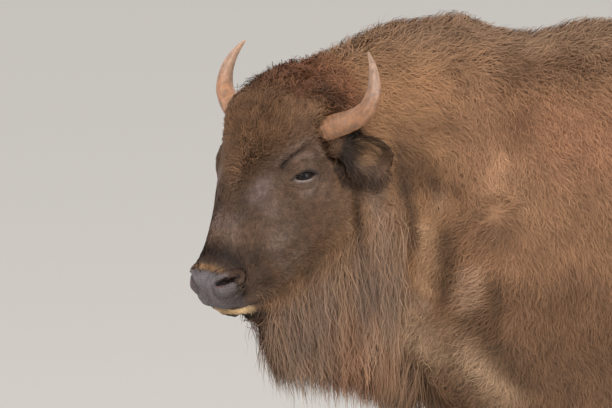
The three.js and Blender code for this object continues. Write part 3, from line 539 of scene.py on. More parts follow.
def zone_shares(points):
    """How much each point belongs to each zone: an array of points by zones that adds up to 1."""
    x, y, z = points.T
    behind = x - NECK_BACK
    from_middle = np.abs(y - MID_Y)
    local = mirrored_in_head(points)
    side, down, out = local.T
    ahead = ahead_of_collar(local)
    over_jaw = above_jaw(local) + 0.055 * step(down, 0.232, 0.266)
    share = {}

    back_limit = 0.075 - 0.060 * step(over_jaw, 0.10, 0.16)
    head = step(ahead, back_limit - 0.060, back_limit + 0.050) * step(over_jaw, -0.030, 0.060)
    bare_from = 0.250 + 0.008 * noise(points, 0.010, 24)
    bare_from = bare_from + 0.25 * np.maximum(side - 0.05, 0) + 0.25 * np.maximum(-0.03 - out, 0)
    edge = 0.006 + 0.5 * np.maximum(side - 0.04, 0) + 0.3 * np.maximum(-0.04 - out, 0)
    share["nose"] = head * step(down, bare_from - edge / 2, bare_from + edge)
    share["nose"] = share["nose"] * step(under_mouth(local), 0.002, -0.002)
    wool_edge = 0.050 - 0.95 * side
    share["wool"] = step(down, wool_edge + 0.045, wool_edge - 0.050) * step(out, -0.10, -0.05)
    share["wool"] = share["wool"] * step(ahead, -0.03, 0.03)
    share["poll"] = step(down, -0.120, -0.165) * step(ahead, -0.10, -0.02) * step(side, 0.125, 0.085)
    share["face"] = head
    share["lid"] = step(np.linalg.norm(local - EYE_CENTRE, axis=-1), 0.040, 0.028)
    share["ear"] = on_ear(local)
    along, lower, ear_out = np.moveaxis(in_ear(local), -1, 0)
    share["cup"] = share["ear"] * step(ear_out, -0.020, -0.008)
    share["fringe"] = share["ear"] * step(lower, 0.008, 0.022) * step(along, 0.100, 0.070)

    neck = step(behind, 0.06, -0.06)
    share["neck"] = neck
    under = step(z, throat_height(x) + 0.10, throat_height(x) - 0.02)
    below_ear = step(over_jaw, 0.010, -0.035) * step(ahead, -0.09, 0.0)
    below_ear = below_ear * step(behind, -0.07, -0.13)
    share["beard"] = neck * np.maximum(below_ear, under)
    top_line = step(from_middle, 0.16, 0.05) * step(z, 1.38, 1.50)
    share["crest"] = top_line * step(behind, 0.60, 0.40) * step(ahead, 0.0, -0.10)
    share["shoulder"] = step(x, WITHERS_BACK + 0.20, WITHERS_BACK - 0.20)
    share["rump"] = step(x, LOIN - 0.05, LOIN + 0.15)
    share["back"] = step(from_middle, 0.20, 0.08) * step(z, 1.28, 1.40)
    share["belly"] = step(z, 0.80, 0.66)
    share["flank"] = np.ones(len(points))

    hind = step(x, LOIN, LOIN + 0.1)
    on_leg = step(z, 0.70 + 0.16 * hind, 0.56 + 0.16 * hind) * step(from_middle, 0.035, 0.075)
    share["thigh"] = on_leg
    share["shank"] = on_leg * step(z, 0.52 + 0.10 * hind, 0.38 + 0.10 * hind)
    share["hoof"] = step(z, 0.075, 0.055)
    share["tail"] = step(x, TAIL_ROOT - 0.015, TAIL_ROOT + 0.01)
    share["tuft"] = share["tail"] * step(z, TUFT_TOP + 0.05, TUFT_TOP - 0.03)

    left = np.ones(len(points))
    for name in reversed(LAYERS):
        share[name] = share[name] * left
        left = left - share[name]
    return np.stack([share[name] for name in ZONES], axis=1)


# ---- The skin's own field, on a grid with its planes closer together at the head ----
def skin_planes():
    low, high = (np.array(corner) for corner in CAD_BOUNDS)
    head_low = np.min([lowest(name) for name in ("muzzle", "jaw", "head")], axis=0)
    head_high = np.max([highest(name) for name in ("muzzle", "head", "ear_right", "ear_left")], axis=0)
    starts = (head_low[0] - 0.01, lowest("ear_left")[1] - 0.01, head_low[2] - 0.02)
    ends = (highest("ear_left")[0] + 0.01, head_high[1] + 0.01, head_high[2] + 0.01)
    return [graded(low[n] - 0.03, high[n] + 0.03, starts[n], ends[n]) for n in range(3)]


def skin_field(planes):
    """(the distances outside the solids, smoothed, and outside the skin) on the planes."""
    first, solid = outer_field(FLESH, VOXEL)
    along, height = planes[0], planes[2]
    # The feet are drawn down, so that the skin ends inside the hooves.
    places = (along, planes[1], height + SUNK_IN_HOOF * step(height, 0.20, 0.10))
    smooth = resampled(blurred(solid, 1), first, VOXEL, places)
    soft = resampled(blurred(solid, 4), first, VOXEL, places)
    trunk = step(along, NECK_BACK - 0.18, NECK_BACK) * step(along, TAIL_ROOT - 0.02, TAIL_ROOT - 0.10)
    body = trunk[:, None, None] * step(height, 0.62, 0.78)[None, None, :]
    values = (smooth + (soft - smooth) * body).astype(np.float32)

    near = (values > -0.07) & (values < 0.015)
    for side in (1, -1):
        # The ears stand out of the other solids, so all the places round them count as near.
        reach = np.stack(np.meshgrid(*EAR_REACH), axis=-1).reshape(-1, 3)
        corners = from_head(EAR_ROOT + reach @ EAR_AXES, side)
        ends = zip(corners.min(0), corners.max(0))
        box = tuple(slice(*np.searchsorted(planes[n], end)) for n, end in enumerate(ends))
        near[box] |= (values[box] > -0.07) & (values[box] < 0.1)
    near = np.nonzero(near)
    points = np.stack([planes[n][near[n]] for n in range(3)], axis=1)
    distance = values[near]
    distance = distance + zone_shares(points) @ coat_of("depth")
    distance = body_folds(distance, points)
    local = mirrored_in_head(points)
    head = np.nonzero(ahead_of_collar(local) > -0.16)[0]
    face, at = distance[head], local[head]
    for form in (cheek_forms, eye_forms, mouth_forms, nostril_forms, ear_form):
        face = form(face, at)
    distance[head] = face
    outer = values.copy()
    values += 0.02
    values[near] = distance
    front = along < NECK_BACK + 0.15
    hanging = throat_height(along[front])[:, None, None] - height[None, None, :]
    values[front] = smooth_max(values[front], hanging.astype(np.float32), 0.05)
    return outer, values


def sampled(values, points):
    """(the distances at the points, their slopes) from a grid on PLANES."""
    cells, per_metre = np.empty((len(points), 3)), np.empty((len(points), 3))
    for axis in range(3):
        planes = PLANES[axis]
        low = np.clip(np.searchsorted(planes, points[:, axis]) - 1, 0, len(planes) - 2)
        per_metre[:, axis] = 1 / (planes[low + 1] - planes[low])
        cells[:, axis] = low + np.clip((points[:, axis] - planes[low]) * per_metre[:, axis], 0, 1)
    low = np.minimum(cells.astype(np.int64), np.array(values.shape) - 2)
    t = cells - low
    flat = values.reshape(-1)
    strides = (values.shape[1] * values.shape[2], values.shape[2], 1)
    start = low @ np.array(strides)
    total, slope = 0, np.zeros((len(points), 3))
    for corner in np.ndindex(2, 2, 2):
        value = flat[start + np.dot(corner, strides)]
        share = np.where(corner, t, 1 - t)
        total = total + value * share[:, 0] * share[:, 1] * share[:, 2]
        for axis in range(3):
            others = share[:, (axis + 1) % 3] * share[:, (axis + 2) % 3]
            slope[:, axis] += value * others * (1 if corner[axis] else -1)
    return total, slope * per_metre


def skin_surface():
    """Points and faces of four corners, from the field."""
    grid = openvdb.FloatGrid(1.0)
    grid.copyFromArray(SKIN)
    cells, quads = grid.convertToQuads(isovalue=0.0)
    places = [np.interp(cells[:, n], np.arange(len(PLANES[n])), PLANES[n]) for n in range(3)]
    points = np.stack(places, axis=1)
    corner = points[quads]
    normal = np.cross(corner[:, 2] - corner[:, 0], corner[:, 3] - corner[:, 1])
    if (normal * sampled(SKIN, corner.mean(1))[1]).sum() < 0:
        quads = quads[:, ::-1]
    return points, quads.astype(np.int64)


# ---- Blender meshes from arrays ----
def mesh_object(name, points, faces_by_size):
    """An object from points and arrays of faces, each array of faces with one number of corners."""
    mesh = bpy.data.meshes.new(name)
    corners = np.concatenate([faces.ravel() for faces in faces_by_size]).astype(np.int32)
    sizes = np.concatenate([np.full(len(faces), faces.shape[1]) for faces in faces_by_size])
    starts = np.concatenate([[0], np.cumsum(sizes)[:-1]]).astype(np.int32)
    mesh.vertices.add(len(points))
    mesh.vertices.foreach_set("co", np.asarray(points, np.float32).ravel())
    mesh.loops.add(len(corners))
    mesh.loops.foreach_set("vertex_index", corners)
    mesh.polygons.add(len(sizes))
    mesh.polygons.foreach_set("loop_start", starts)
    mesh.polygons.foreach_set("use_smooth", np.ones(len(sizes), bool))
    mesh.update(calc_edges=True)
    mesh.validate()
    made = bpy.data.objects.new(name, mesh)
    bpy.context.scene.collection.objects.link(made)
    return made


def paint(made, colors, name="tint"):
    """Linear colours, one for each vertex, as an attribute."""
    layer = made.data.color_attributes.new(name, "FLOAT_COLOR", "POINT")
    rgba = np.ones((len(colors), 4), np.float32)
    rgba[:, :3] = colors
    layer.data.foreach_set("color", rgba.ravel())


def linear(srgb):
    """Linear colour from sRGB, 0-255."""
    share = np.asarray(srgb, float) / 255
    return np.where(share <= 0.04045, share / 12.92, ((share + 0.055) / 1.055) ** 2.4)


def take_on(made, slot, *nodes):
    """Rides the piece on the body, in place of CAD nodes."""
    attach(made, "root")
    if nodes:
        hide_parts(*nodes)


# ---- The lie of the coat ----
def blend(flow, share, direction):
    """Turns the flow towards a direction, or towards one for each point, by a share at each point."""
    return flow * (1 - share[:, None]) + unit(np.asarray(direction, float)) * share[:, None]


def noise_vectors(points, size, seed):
    return np.stack([noise(points, size, seed + axis) for axis in range(3)], axis=1)


def lie(points):
    """The way the hair points, at places on or over the skin."""
    x, y, z = points.T
    behind = x - NECK_BACK
    from_middle = np.abs(y - MID_Y)
    flow = np.tile(unit(np.array([1.0, 0.0, -0.55])), (len(points), 1))
    flow = blend(flow, step(x, WITHERS_BACK, WITHERS_BACK - 0.25), (0.12, 0, -1))
    flow = blend(flow, step(x, LOIN + 0.05, LOIN + 0.35), (0.35, 0, -1))
    flow = blend(flow, step(from_middle, 0.17, 0.03) * step(z, 1.15, 1.3), (1, 0, 0.05))
    neck = step(behind, 0.06, -0.06)
    flow = blend(flow, neck, (-0.35, 0, -1))
    flow = blend(flow, neck * step(z, 1.36, 1.46), (0.7, 0, -0.4))
    ridge = step(behind, -0.10, -0.06) * step(behind, 0.16, 0.06)
    flow = blend(flow, 0.85 * ridge * step(z, 1.33, 1.27), (-0.9, 0, -0.5))
    flow = blend(flow, step(behind, -0.08, -0.14) * step(z, 1.40, 1.34), (-0.05, 0, -1))
    top = step(from_middle, 0.16, 0.04) * step(z, 1.38, 1.50) * step(behind, 0.3, 0.1)
    flow = blend(flow, top, (0.75, 0, 0.65))
    flow = blend(flow, top * step(behind, -0.10, -0.26), (-0.6, 0, 0.5))
    whorl = points - np.array([NECK_BACK + 0.095, 0, 1.275])
    whorl = whorl + 0.014 * noise_vectors(points, 0.030, 14)
    whorl[:, 1] = 0
    far = np.linalg.norm(whorl, axis=1)
    flow = blend(flow, 0.8 * bump(far, 0.028, 0.032) * step(from_middle, 0.10, 0.18), whorl)
    flow = blend(flow, step(z, 0.72, 0.60), (0.12, 0, -1))
    flow = blend(flow, step(z, 0.78, 0.66) * step(from_middle, 0.12, 0.06), (1, 0, -0.3))
    flow = blend(flow, step(x, TAIL_ROOT - 0.01, TAIL_ROOT + 0.02), (0.08, 0, -1))

    local = mirrored_in_head(points)
    across, down, out = local.T
    head = step(ahead_of_collar(local), 0.02, 0.09) * step(above_jaw(local), -0.03, 0.05)
    head = np.maximum(head, step(ahead_of_collar(local), -0.03, 0.03) * step(down, -0.02, -0.06))
    outward = 0.35 * step(down, 0.10, 0.0) + 0.9 * bump(down, 0.03, 0.035)
    up_or_down = np.stack([outward, np.tanh((down - 0.03) / 0.05), np.zeros(len(points))], axis=1)
    cheek = np.maximum(step(across, 0.065, 0.105), step(out, -0.05, -0.10))
    cheek = cheek * step(down, -0.07, 0.0)
    mirror = np.where(in_head(points)[:, :1] < 0, (-1, 1, 1), (1, 1, 1))
    in_frame = blend(unit(up_or_down), cheek, (0.30, -0.55, -0.75))
    flow = blend(flow, head, (in_frame * mirror) @ HEAD_AXES)
    flow = blend(flow, on_ear(local), (EAR_AXIS * mirror) @ HEAD_AXES)
    woolly = step(x, WITHERS_BACK, NECK_BACK)[:, None]
    matted = 0.45 * woolly * noise_vectors(points, 0.028, 17)
    return unit(flow + 0.30 * noise_vectors(points, 0.07, 11) + matted)


# ---- Colours ----
# Marks on her sides, each along a line: (its start behind the neck's end and above the ground, its end
# likewise, width, share, sRGB). The dark lines in the shoulder, neck and throat folds are painted shade,
# and the pale lines on the ridges either side of the shoulder fold are painted highlights.
SIDE_MARKS_AND_PAINTED_LIGHT = (
    (0.060, 0.980, 0.340, 0.980, 0.120, 0.8, (106, 78, 56)),
    (0.060, 0.850, 0.380, 0.850, 0.080, 0.6, (94, 69, 50)),
    (0.100, 1.110, 0.270, 1.110, 0.050, 0.6, (112, 82, 59)),
    (0.180, 1.575, 0.400, 1.575, 0.030, 0.7, (112, 82, 60)),
    (0.260, 1.440, 0.350, 1.420, 0.080, 0.7, (163, 116, 86)),
    (0.161, 1.459, 0.165, 1.470, 0.036, 0.7, (126, 87, 62)),
    (0.200, 1.638, 0.500, 1.638, 0.028, 0.6, (136, 109, 86)),
    (-0.050, 1.658, 0.180, 1.658, 0.024, 0.6, (124, 97, 76)),
    (0.104, 1.362, 0.108, 1.392, 0.028, 0.9, (192, 147, 112)),
    (0.140, 1.340, 0.170, 1.300, 0.036, 0.6, (164, 124, 92)),
    (0.075, 1.255, 0.110, 1.235, 0.030, 0.8, (118, 85, 60)),
    (0.021, 1.335, 0.022, 1.350, 0.018, 0.8, (114, 81, 56)),
    (-0.020, 1.318, -0.018, 1.326, 0.017, 0.7, (166, 131, 102)),
    # Painted shade in the bottom of the shoulder fold.
    (-0.006, 1.240, 0.006, 1.120, 0.025, 0.8, (80, 58, 40)),
    # Painted highlight on the ridge behind the shoulder fold.
    (0.040, 1.165, 0.034, 1.085, 0.018, 0.9, (186, 149, 120)),
    (0.085, 1.120, 0.080, 1.040, 0.028, 0.85, (94, 68, 46)),
    # Painted highlight on the ridge in front of the shoulder fold.
    (-0.050, 1.265, -0.038, 1.130, 0.020, 0.85, (196, 156, 120)),
    (-0.200, 1.070, -0.150, 0.990, 0.060, 0.9, (154, 104, 76)),
    (-0.080, 1.400, -0.030, 1.350, 0.028, 0.8, (86, 60, 40)),
    (-0.106, 1.430, -0.090, 1.350, 0.020, 0.8, (86, 62, 44)),
    # Painted shade in the throat fold.
    (-0.100, 1.360, -0.076, 1.230, 0.018, 0.80, (78, 57, 41)),
    # Painted shade in the neck fold.
    (-0.198, 1.380, -0.191, 1.215, 0.013, 0.95, (50, 36, 27)),
    (-0.163, 1.345, -0.115, 1.130, 0.020, 0.85, (144, 119, 101)),
    (-0.226, 1.340, -0.211, 1.150, 0.008, 0.8, (146, 115, 90)),
    (-0.090, 1.125, -0.045, 1.085, 0.022, 0.6, (150, 124, 103)),
    (-0.150, 1.100, 0.115, 0.900, 0.044, 0.90, (176, 145, 116)),
    (0.035, 1.060, 0.150, 0.930, 0.026, 0.7, (94, 70, 50)),
    (-0.090, 1.000, -0.030, 0.930, 0.018, 0.6, (100, 74, 56)),
    (-0.240, 1.590, -0.210, 1.590, 0.028, 0.6, (128, 86, 60)),
    (-0.080, 1.467, 0.000, 1.467, 0.034, 0.7, (122, 89, 63)),
    (-0.070, 1.545, 0.010, 1.545, 0.035, 0.5, (172, 128, 93)),
)
# Marks on the head: (to the side, down, out, half size, share, sRGB), in its own frame. Among them is
# painted light: pale lilac-grey patches of painted sheen down the face, below the eye and on the bridge of
# the nose, painted highlights on the top of the bare nose, and painted shade beside and under the nostril.
HEAD_MARKS_AND_PAINTED_LIGHT = (
    # Painted sheen: the second mark here, the marks of the next four lines, and the first of the line
    # after.
    (0.036, 0.110, 0.020, 0.030, 0.8, (64, 47, 35)), (0.079, 0.034, 0.022, 0.017, 0.5, (106, 86, 74)),
    (0.066, 0.062, 0.018, 0.020, 0.9, (118, 99, 92)), (0.060, 0.088, 0.010, 0.015, 0.6, (106, 88, 80)),
    (0.084, 0.098, -0.018, 0.024, 0.7, (116, 96, 90)), (0.104, 0.108, -0.048, 0.026, 0.6, (114, 94, 83)),
    (0.100, 0.128, -0.068, 0.026, 0.8, (122, 102, 91)), (0.080, 0.150, -0.070, 0.022, 0.6, (112, 93, 83)),
    (0.102, 0.150, -0.130, 0.028, 0.6, (112, 90, 75)), (0.014, 0.152, 0.017, 0.026, 0.9, (116, 96, 88)),
    (0.024, 0.180, 0.012, 0.017, 0.7, (116, 92, 78)), (0.058, 0.191, -0.050, 0.026, 0.9, (56, 41, 32)),
    (0.048, 0.218, -0.090, 0.030, 0.6, (72, 58, 51)), (0.050, 0.222, -0.128, 0.026, 0.5, (58, 46, 40)),
    (0.078, 0.200, -0.148, 0.026, 0.5, (66, 51, 42)), (0.110, 0.134, -0.165, 0.026, 0.7, (74, 55, 40)),
    (0.100, 0.160, -0.180, 0.020, 0.6, (72, 54, 38)), (0.128, 0.050, -0.115, 0.036, 0.6, (92, 66, 48)),
    (0.122, 0.090, -0.148, 0.030, 0.6, (88, 63, 45)), (0.141, 0.015, -0.140, 0.028, 0.6, (116, 88, 65)),
    (0.134, 0.075, -0.195, 0.035, 0.6, (124, 94, 69)), (0.115, 0.135, -0.228, 0.045, 0.6, (124, 99, 78)),
    (0.146, -0.018, -0.142, 0.010, 0.6, (136, 106, 84)), (0.147, 0.006, -0.166, 0.010, 0.7, (142, 112, 88)),
    (0.147, 0.036, -0.192, 0.010, 0.7, (146, 116, 92)), (0.103, 0.002, 0.020, 0.016, 0.9, (50, 35, 25)),
    (0.133, -0.048, -0.058, 0.022, 0.8, (74, 54, 41)), (0.150, -0.086, -0.080, 0.020, 0.7, (66, 49, 38)),
    (0.036, -0.010, 0.045, 0.022, 0.5, (72, 52, 37)), (0.160, -0.060, -0.155, 0.016, 0.6, (92, 71, 58)),
    # Painted highlight on the top of the bare nose.
    (0.054, 0.248, -0.004, 0.012, 0.6, (134, 118, 112)),
    (0.055, 0.292, -0.030, 0.014, 0.6, (112, 104, 102)), (0.084, 0.010, 0.020, 0.016, 0.5, (74, 53, 40)),
    (0.085, -0.172, 0.018, 0.030, 0.7, (72, 48, 34)), (0.108, -0.178, -0.010, 0.020, 0.7, (64, 43, 31)),
    (0.095, -0.223, -0.055, 0.030, 0.6, (134, 88, 60)), (0.075, 0.165, -0.120, 0.024, 0.5, (100, 84, 76)),
    (0.130, 0.010, -0.075, 0.020, 0.5, (108, 84, 68)), (0.136, -0.054, -0.072, 0.017, 0.9, (112, 86, 68)),
    # A painted highlight on the top of the bare nose, then painted shade beside and under the nostril to
    # the end.
    (0.012, 0.266, 0.000, 0.022, 0.7, (134, 128, 132)), (0.063, 0.274, -0.062, 0.018, 0.9, (50, 42, 38)),
    (0.069, 0.256, -0.042, 0.013, 0.8, (72, 59, 51)), (0.060, 0.258, -0.080, 0.020, 0.8, (54, 44, 38)),
)


def tint(color, share, srgb):
    """Colours drawn towards another, by a share at each place."""
    return color * (1 - share[..., None]) + linear(srgb) * share[..., None]


def tinted(color, *marks):
    """Colours with marks laid over them in turn, each a share at each place and its sRGB."""
    for share, srgb in marks:
        color = tint(color, share, srgb)
    return color


def face_marks_and_painted_light(local, beard, nose):
    """Marks of the nose, lips and nostrils, with painted shade deep in the nostrils, in the creases round
    them, along the crease of the mouth and on the lower, outer part of the bare nose.
    """
    side, down, out = local.T
    head = step(ahead_of_collar(local), 0.0, 0.05)
    above_nose = head * step(out, -0.055, -0.020)
    below = under_mouth(local)
    in_front = step(down, 0.225, 0.245) * (1 - beard)
    lip = step(below, 0.0, 0.003) * step(below, 0.034, 0.024) * step(down, 0.262, 0.280)
    gap = rods(local, *NOSTRIL)
    pad = rods(local, *NOSTRIL_PAD)
    wing = head * step(down, 0.285, 0.262)
    # Inside the nostril, for painted shade and its pink lining.
    inside = head * step(gap, 0.0035, -0.0010)
    return (
        (above_nose * bump(down, 0.215, 0.028) * step(side, 0.085, 0.050), (42, 28, 20)),
        (above_nose * bump(down, 0.2475, 0.0065) * step(side, 0.052, 0.036), (138, 104, 72)),
        (lip * in_front, (200, 170, 130)),
        (step(below, 0.026, 0.034) * step(below, 0.062, 0.046) * in_front, (44, 37, 32)),
        # Painted shade along the crease of the mouth.
        (0.80 * bump(below, 0, 0.003) * in_front, (34, 28, 26)),
        # Painted shade in the two creases round the nostril's wing and, on the third line, in the groove
        # round the flap.
        (0.55 * wing * bump(gap, 0.0150, 0.0032), (60, 48, 44)),
        (0.50 * wing * bump(gap, 0.0245, 0.0036), (58, 46, 41)),
        (0.45 * head * bump(pad, 0.0200, 0.0040), (54, 44, 41)),
        (0.35 * head * bump(pad, 0.0, 0.0100), (102, 94, 94)),
        # Painted shade deep in the nostril, then its pink lower inside.
        (0.85 * inside, (54, 38, 37)),
        (0.70 * inside * step(down, 0.262, 0.276), (118, 82, 80)),
        # Painted shade on the lower, outer part of the bare nose.
        (0.60 * nose * step(side, 0.024, 0.048) * step(out, -0.018, -0.044), (54, 44, 40)),
    )


def eye_marks_and_painted_light(local):
    """Marks of the brow, lids and lashes, with painted shade in the brow's crease, under the upper lid and
    in the eye's corners, painted highlights on the brow's ridge, the upper lid and a band under the eye,
    and a painted reflection on the wet rim of the lower lid.
    """
    back, up, out = np.moveaxis(in_eye(local), -1, 0)
    around, turn = np.hypot(back, up), np.arctan2(up, back)
    facing, in_slit = step(out, -0.02, 0.005), step(out, 0.0, 0.01)
    fading = 0.30 + 0.70 * step(back, 0.020, -0.012)
    # Dark lashes, and painted shade under the upper lid.
    lash_and_lid_shade = bump(up, lid_height(back) + 0.002, 0.0028 + 0.0016 * step(back, -0.010, 0.015))
    lash_and_lid_shade = lash_and_lid_shade * step(np.abs(back), 0.042, 0.030) * (up > -0.004)
    # The wet rim of the lower lid, for a painted reflection.
    rim = bump(np.hypot(back / SLIT_HALF, up / SLIT_OPEN), 1.1, 0.35) * (up < 0)
    # The eye's corners, for painted shade.
    corner = bump(np.hypot(np.abs(back) - SLIT_HALF - 0.002, up), 0, 0.005)
    return (
        # Painted highlight on the brow's ridge.
        (0.35 * bump(from_brow(back, up, 0.012), 0, 0.007) * facing, (124, 102, 90)),
        # Painted shade in the brow's crease.
        (0.90 * fading * bump(from_brow(back, up, -0.001), 0, 0.0068) * facing, (44, 32, 25)),
        # Painted highlight on the upper lid.
        (0.60 * bump(around, 0.042, 0.007) * bump(turn, 1.2, 0.7) * facing, (114, 94, 82)),
        # Painted highlight in a band under the eye.
        (0.70 * bump(around, 0.035, 0.008) * bump(turn, -1.3, 0.9) * facing, (120, 100, 90)),
        # Dark lashes, with painted shade under the upper lid.
        (0.90 * lash_and_lid_shade * in_slit, (38, 31, 29)),
        # Painted reflection on the wet rim of the lower lid.
        (rim * in_slit * step(back, 0.024, 0.004) * step(back, -0.032, -0.024), (124, 112, 108)),
        # Painted shade in the eye's corners.
        (0.80 * corner * step(out, -0.02, 0.0), (34, 28, 26)),
    )


def ear_marks(local):
    """Marks along the ear and across it."""
    along, lower, _ = np.moveaxis(in_ear(local), -1, 0)
    here = on_ear(local)
    return (
        (0.95 * step(along, 0.026, 0.010) * here, (38, 30, 25)),
        (0.80 * bump(along, 0.035, 0.021) * step(lower, 0.030, 0.004) * here, (138, 106, 77)),
        (0.80 * step(along, 0.060, 0.074) * here, (104, 78, 60)),
        (0.70 * bump(lower, -0.036, 0.008) * here, (56, 42, 33)),
        (0.80 * step(lower, 0.014, 0.030) * here, (66, 49, 38)),
    )


def markings_and_painted_light(points, shares):
    """The linear colour of the coat at each point, with painted highlights and painted shade among its
    marks.
    """
    local = mirrored_in_head(points)
    behind, height = points[:, 0] - NECK_BACK, points[:, 2]
    beard = in_zone(shares, "beard")
    wandering = noise(points, 0.05, 21)
    flat = np.stack([behind, height], axis=1) + 0.014 * wandering[:, None]
    ragged = 0.008 * wandering + 0.010 * noise(points, 0.018, 25)
    on_side = 1 - np.maximum(in_zone(shares, "face"), 0.4 * beard)
    on_side = on_side * (0.25 + 0.75 * bent_side(points))
    color = shares @ linear(coat_of("color"))
    for x0, z0, x1, z1, wide, share, srgb in SIDE_MARKS_AND_PAINTED_LIGHT:
        mark = bump(rods(flat, (x0, z0, 0), (x1, z1, 0)), 0, wide)
        color = tint(color, share * mark * on_side, srgb)
    for *place, size, share, srgb in HEAD_MARKS_AND_PAINTED_LIGHT:
        gap = np.linalg.norm(local - np.array(place), axis=1)
        color = tint(color, share * bump(gap + ragged, 0, size), srgb)
    color = tinted(
        color, *face_marks_and_painted_light(local, beard, in_zone(shares, "nose")), *eye_marks_and_painted_light(local), *ear_marks(local),
        (0.4 * beard * step(behind, -0.28, -0.38), (108, 91, 80)),
        (0.6 * beard * step(noise(points, 0.035, 22), 0.0, 0.6), (148, 108, 82)),
        (0.7 * beard * step(noise(points, 0.035, 23), 0.0, 0.6), (112, 92, 80)),
    )
    strands = noise(points * np.array([1, 1, 0.15]), 0.013, 26)
    cloudy = 1 + 0.10 * noise(points, 0.16, 1) + 0.13 * noise(points, 0.04, 2) + 0.26 * beard * strands
    head = step(ahead_of_collar(local), 0.0, 0.05)
    mottled = 1 + head * (0.17 * noise(points, 0.011, 3) + 0.08 * noise(points, 0.026, 27))
    return np.clip(color * (cloudy * mottled)[:, None], 0.004, 1)


# ---- Growing the tufts ----
def in_quad(corner, u, v):
    """Places inside quads, from their four corners."""
    near, far = corner[:, 0] * (1 - u) + corner[:, 1] * u, corner[:, 3] * (1 - u) + corner[:, 2] * u
    return near * (1 - v) + far * v


def scattered(name):
    """Roots of one zone's tufts, and the same places on the skin's map."""
    weight = np.cumsum(QUAD_AREA * in_zone(QUAD_SHARES, name))
    count = ZONES[name][FIELDS.index("tufts")]
    quad = np.searchsorted(weight, (np.arange(count) + rng.random(count)) / count * weight[-1])
    quad = np.minimum(quad, len(weight) - 1)
    u, v = rng.random((2, count, 1))
    return in_quad(skin_points[skin_quads[quad]], u, v), in_quad(SKIN_MAP[quad], u, v)


def lock_of(roots, size):
    """(the number of each root's lock, how far the root is from the lock's middle, squared)."""
    cells = np.floor(roots / size[:, None]).astype(np.int64)
    best, chosen = np.full(len(roots), np.inf), np.zeros(len(roots), np.int64)
    for shift in np.ndindex(3, 3, 3):
        cell = cells + np.array(shift) - 1
        jitter = np.stack([lattice(cell, seed) for seed in (3, 4, 5)], axis=1)
        gap = (((cell + jitter) * size[:, None] - roots) ** 2).sum(1)
        nearer = gap < best
        best = np.where(nearer, gap, best)
        chosen = np.where(nearer, cell @ np.array([1, 4099, 16785407]), chosen)
    return chosen, best


def shortened(path):
    """Paths that end soon after they leave the solids' outline."""
    count = path.shape[1]
    over = rng.exponential(0.020, count) - 0.004
    reach = np.ones(count)
    for part in range(len(path) - 1, 1, -1):
        outside = sampled(OUTER, path[part])[0] > over
        reach = np.where(outside, (part - 0.6) / (len(path) - 1), reach)
    places = np.linspace(0, 1, len(path))[:, None] * reach * (len(path) - 1)
    low = np.minimum(places.astype(int), len(path) - 2)
    t = (places - low)[..., None]
    each = np.arange(count)
    return path[low, each] * (1 - t) + path[low + 1, each] * t


def in_slit(points):
    """1 in the openings of the eyes, where no hair grows, and 0 away from them."""
    back, up, out = np.moveaxis(in_eye(mirrored_in_head(points)), -1, 0)
    return step(np.abs(back), 0.034, 0.028) * step(np.abs(up), 0.013, 0.009) * step(out, -0.02, -0.01)


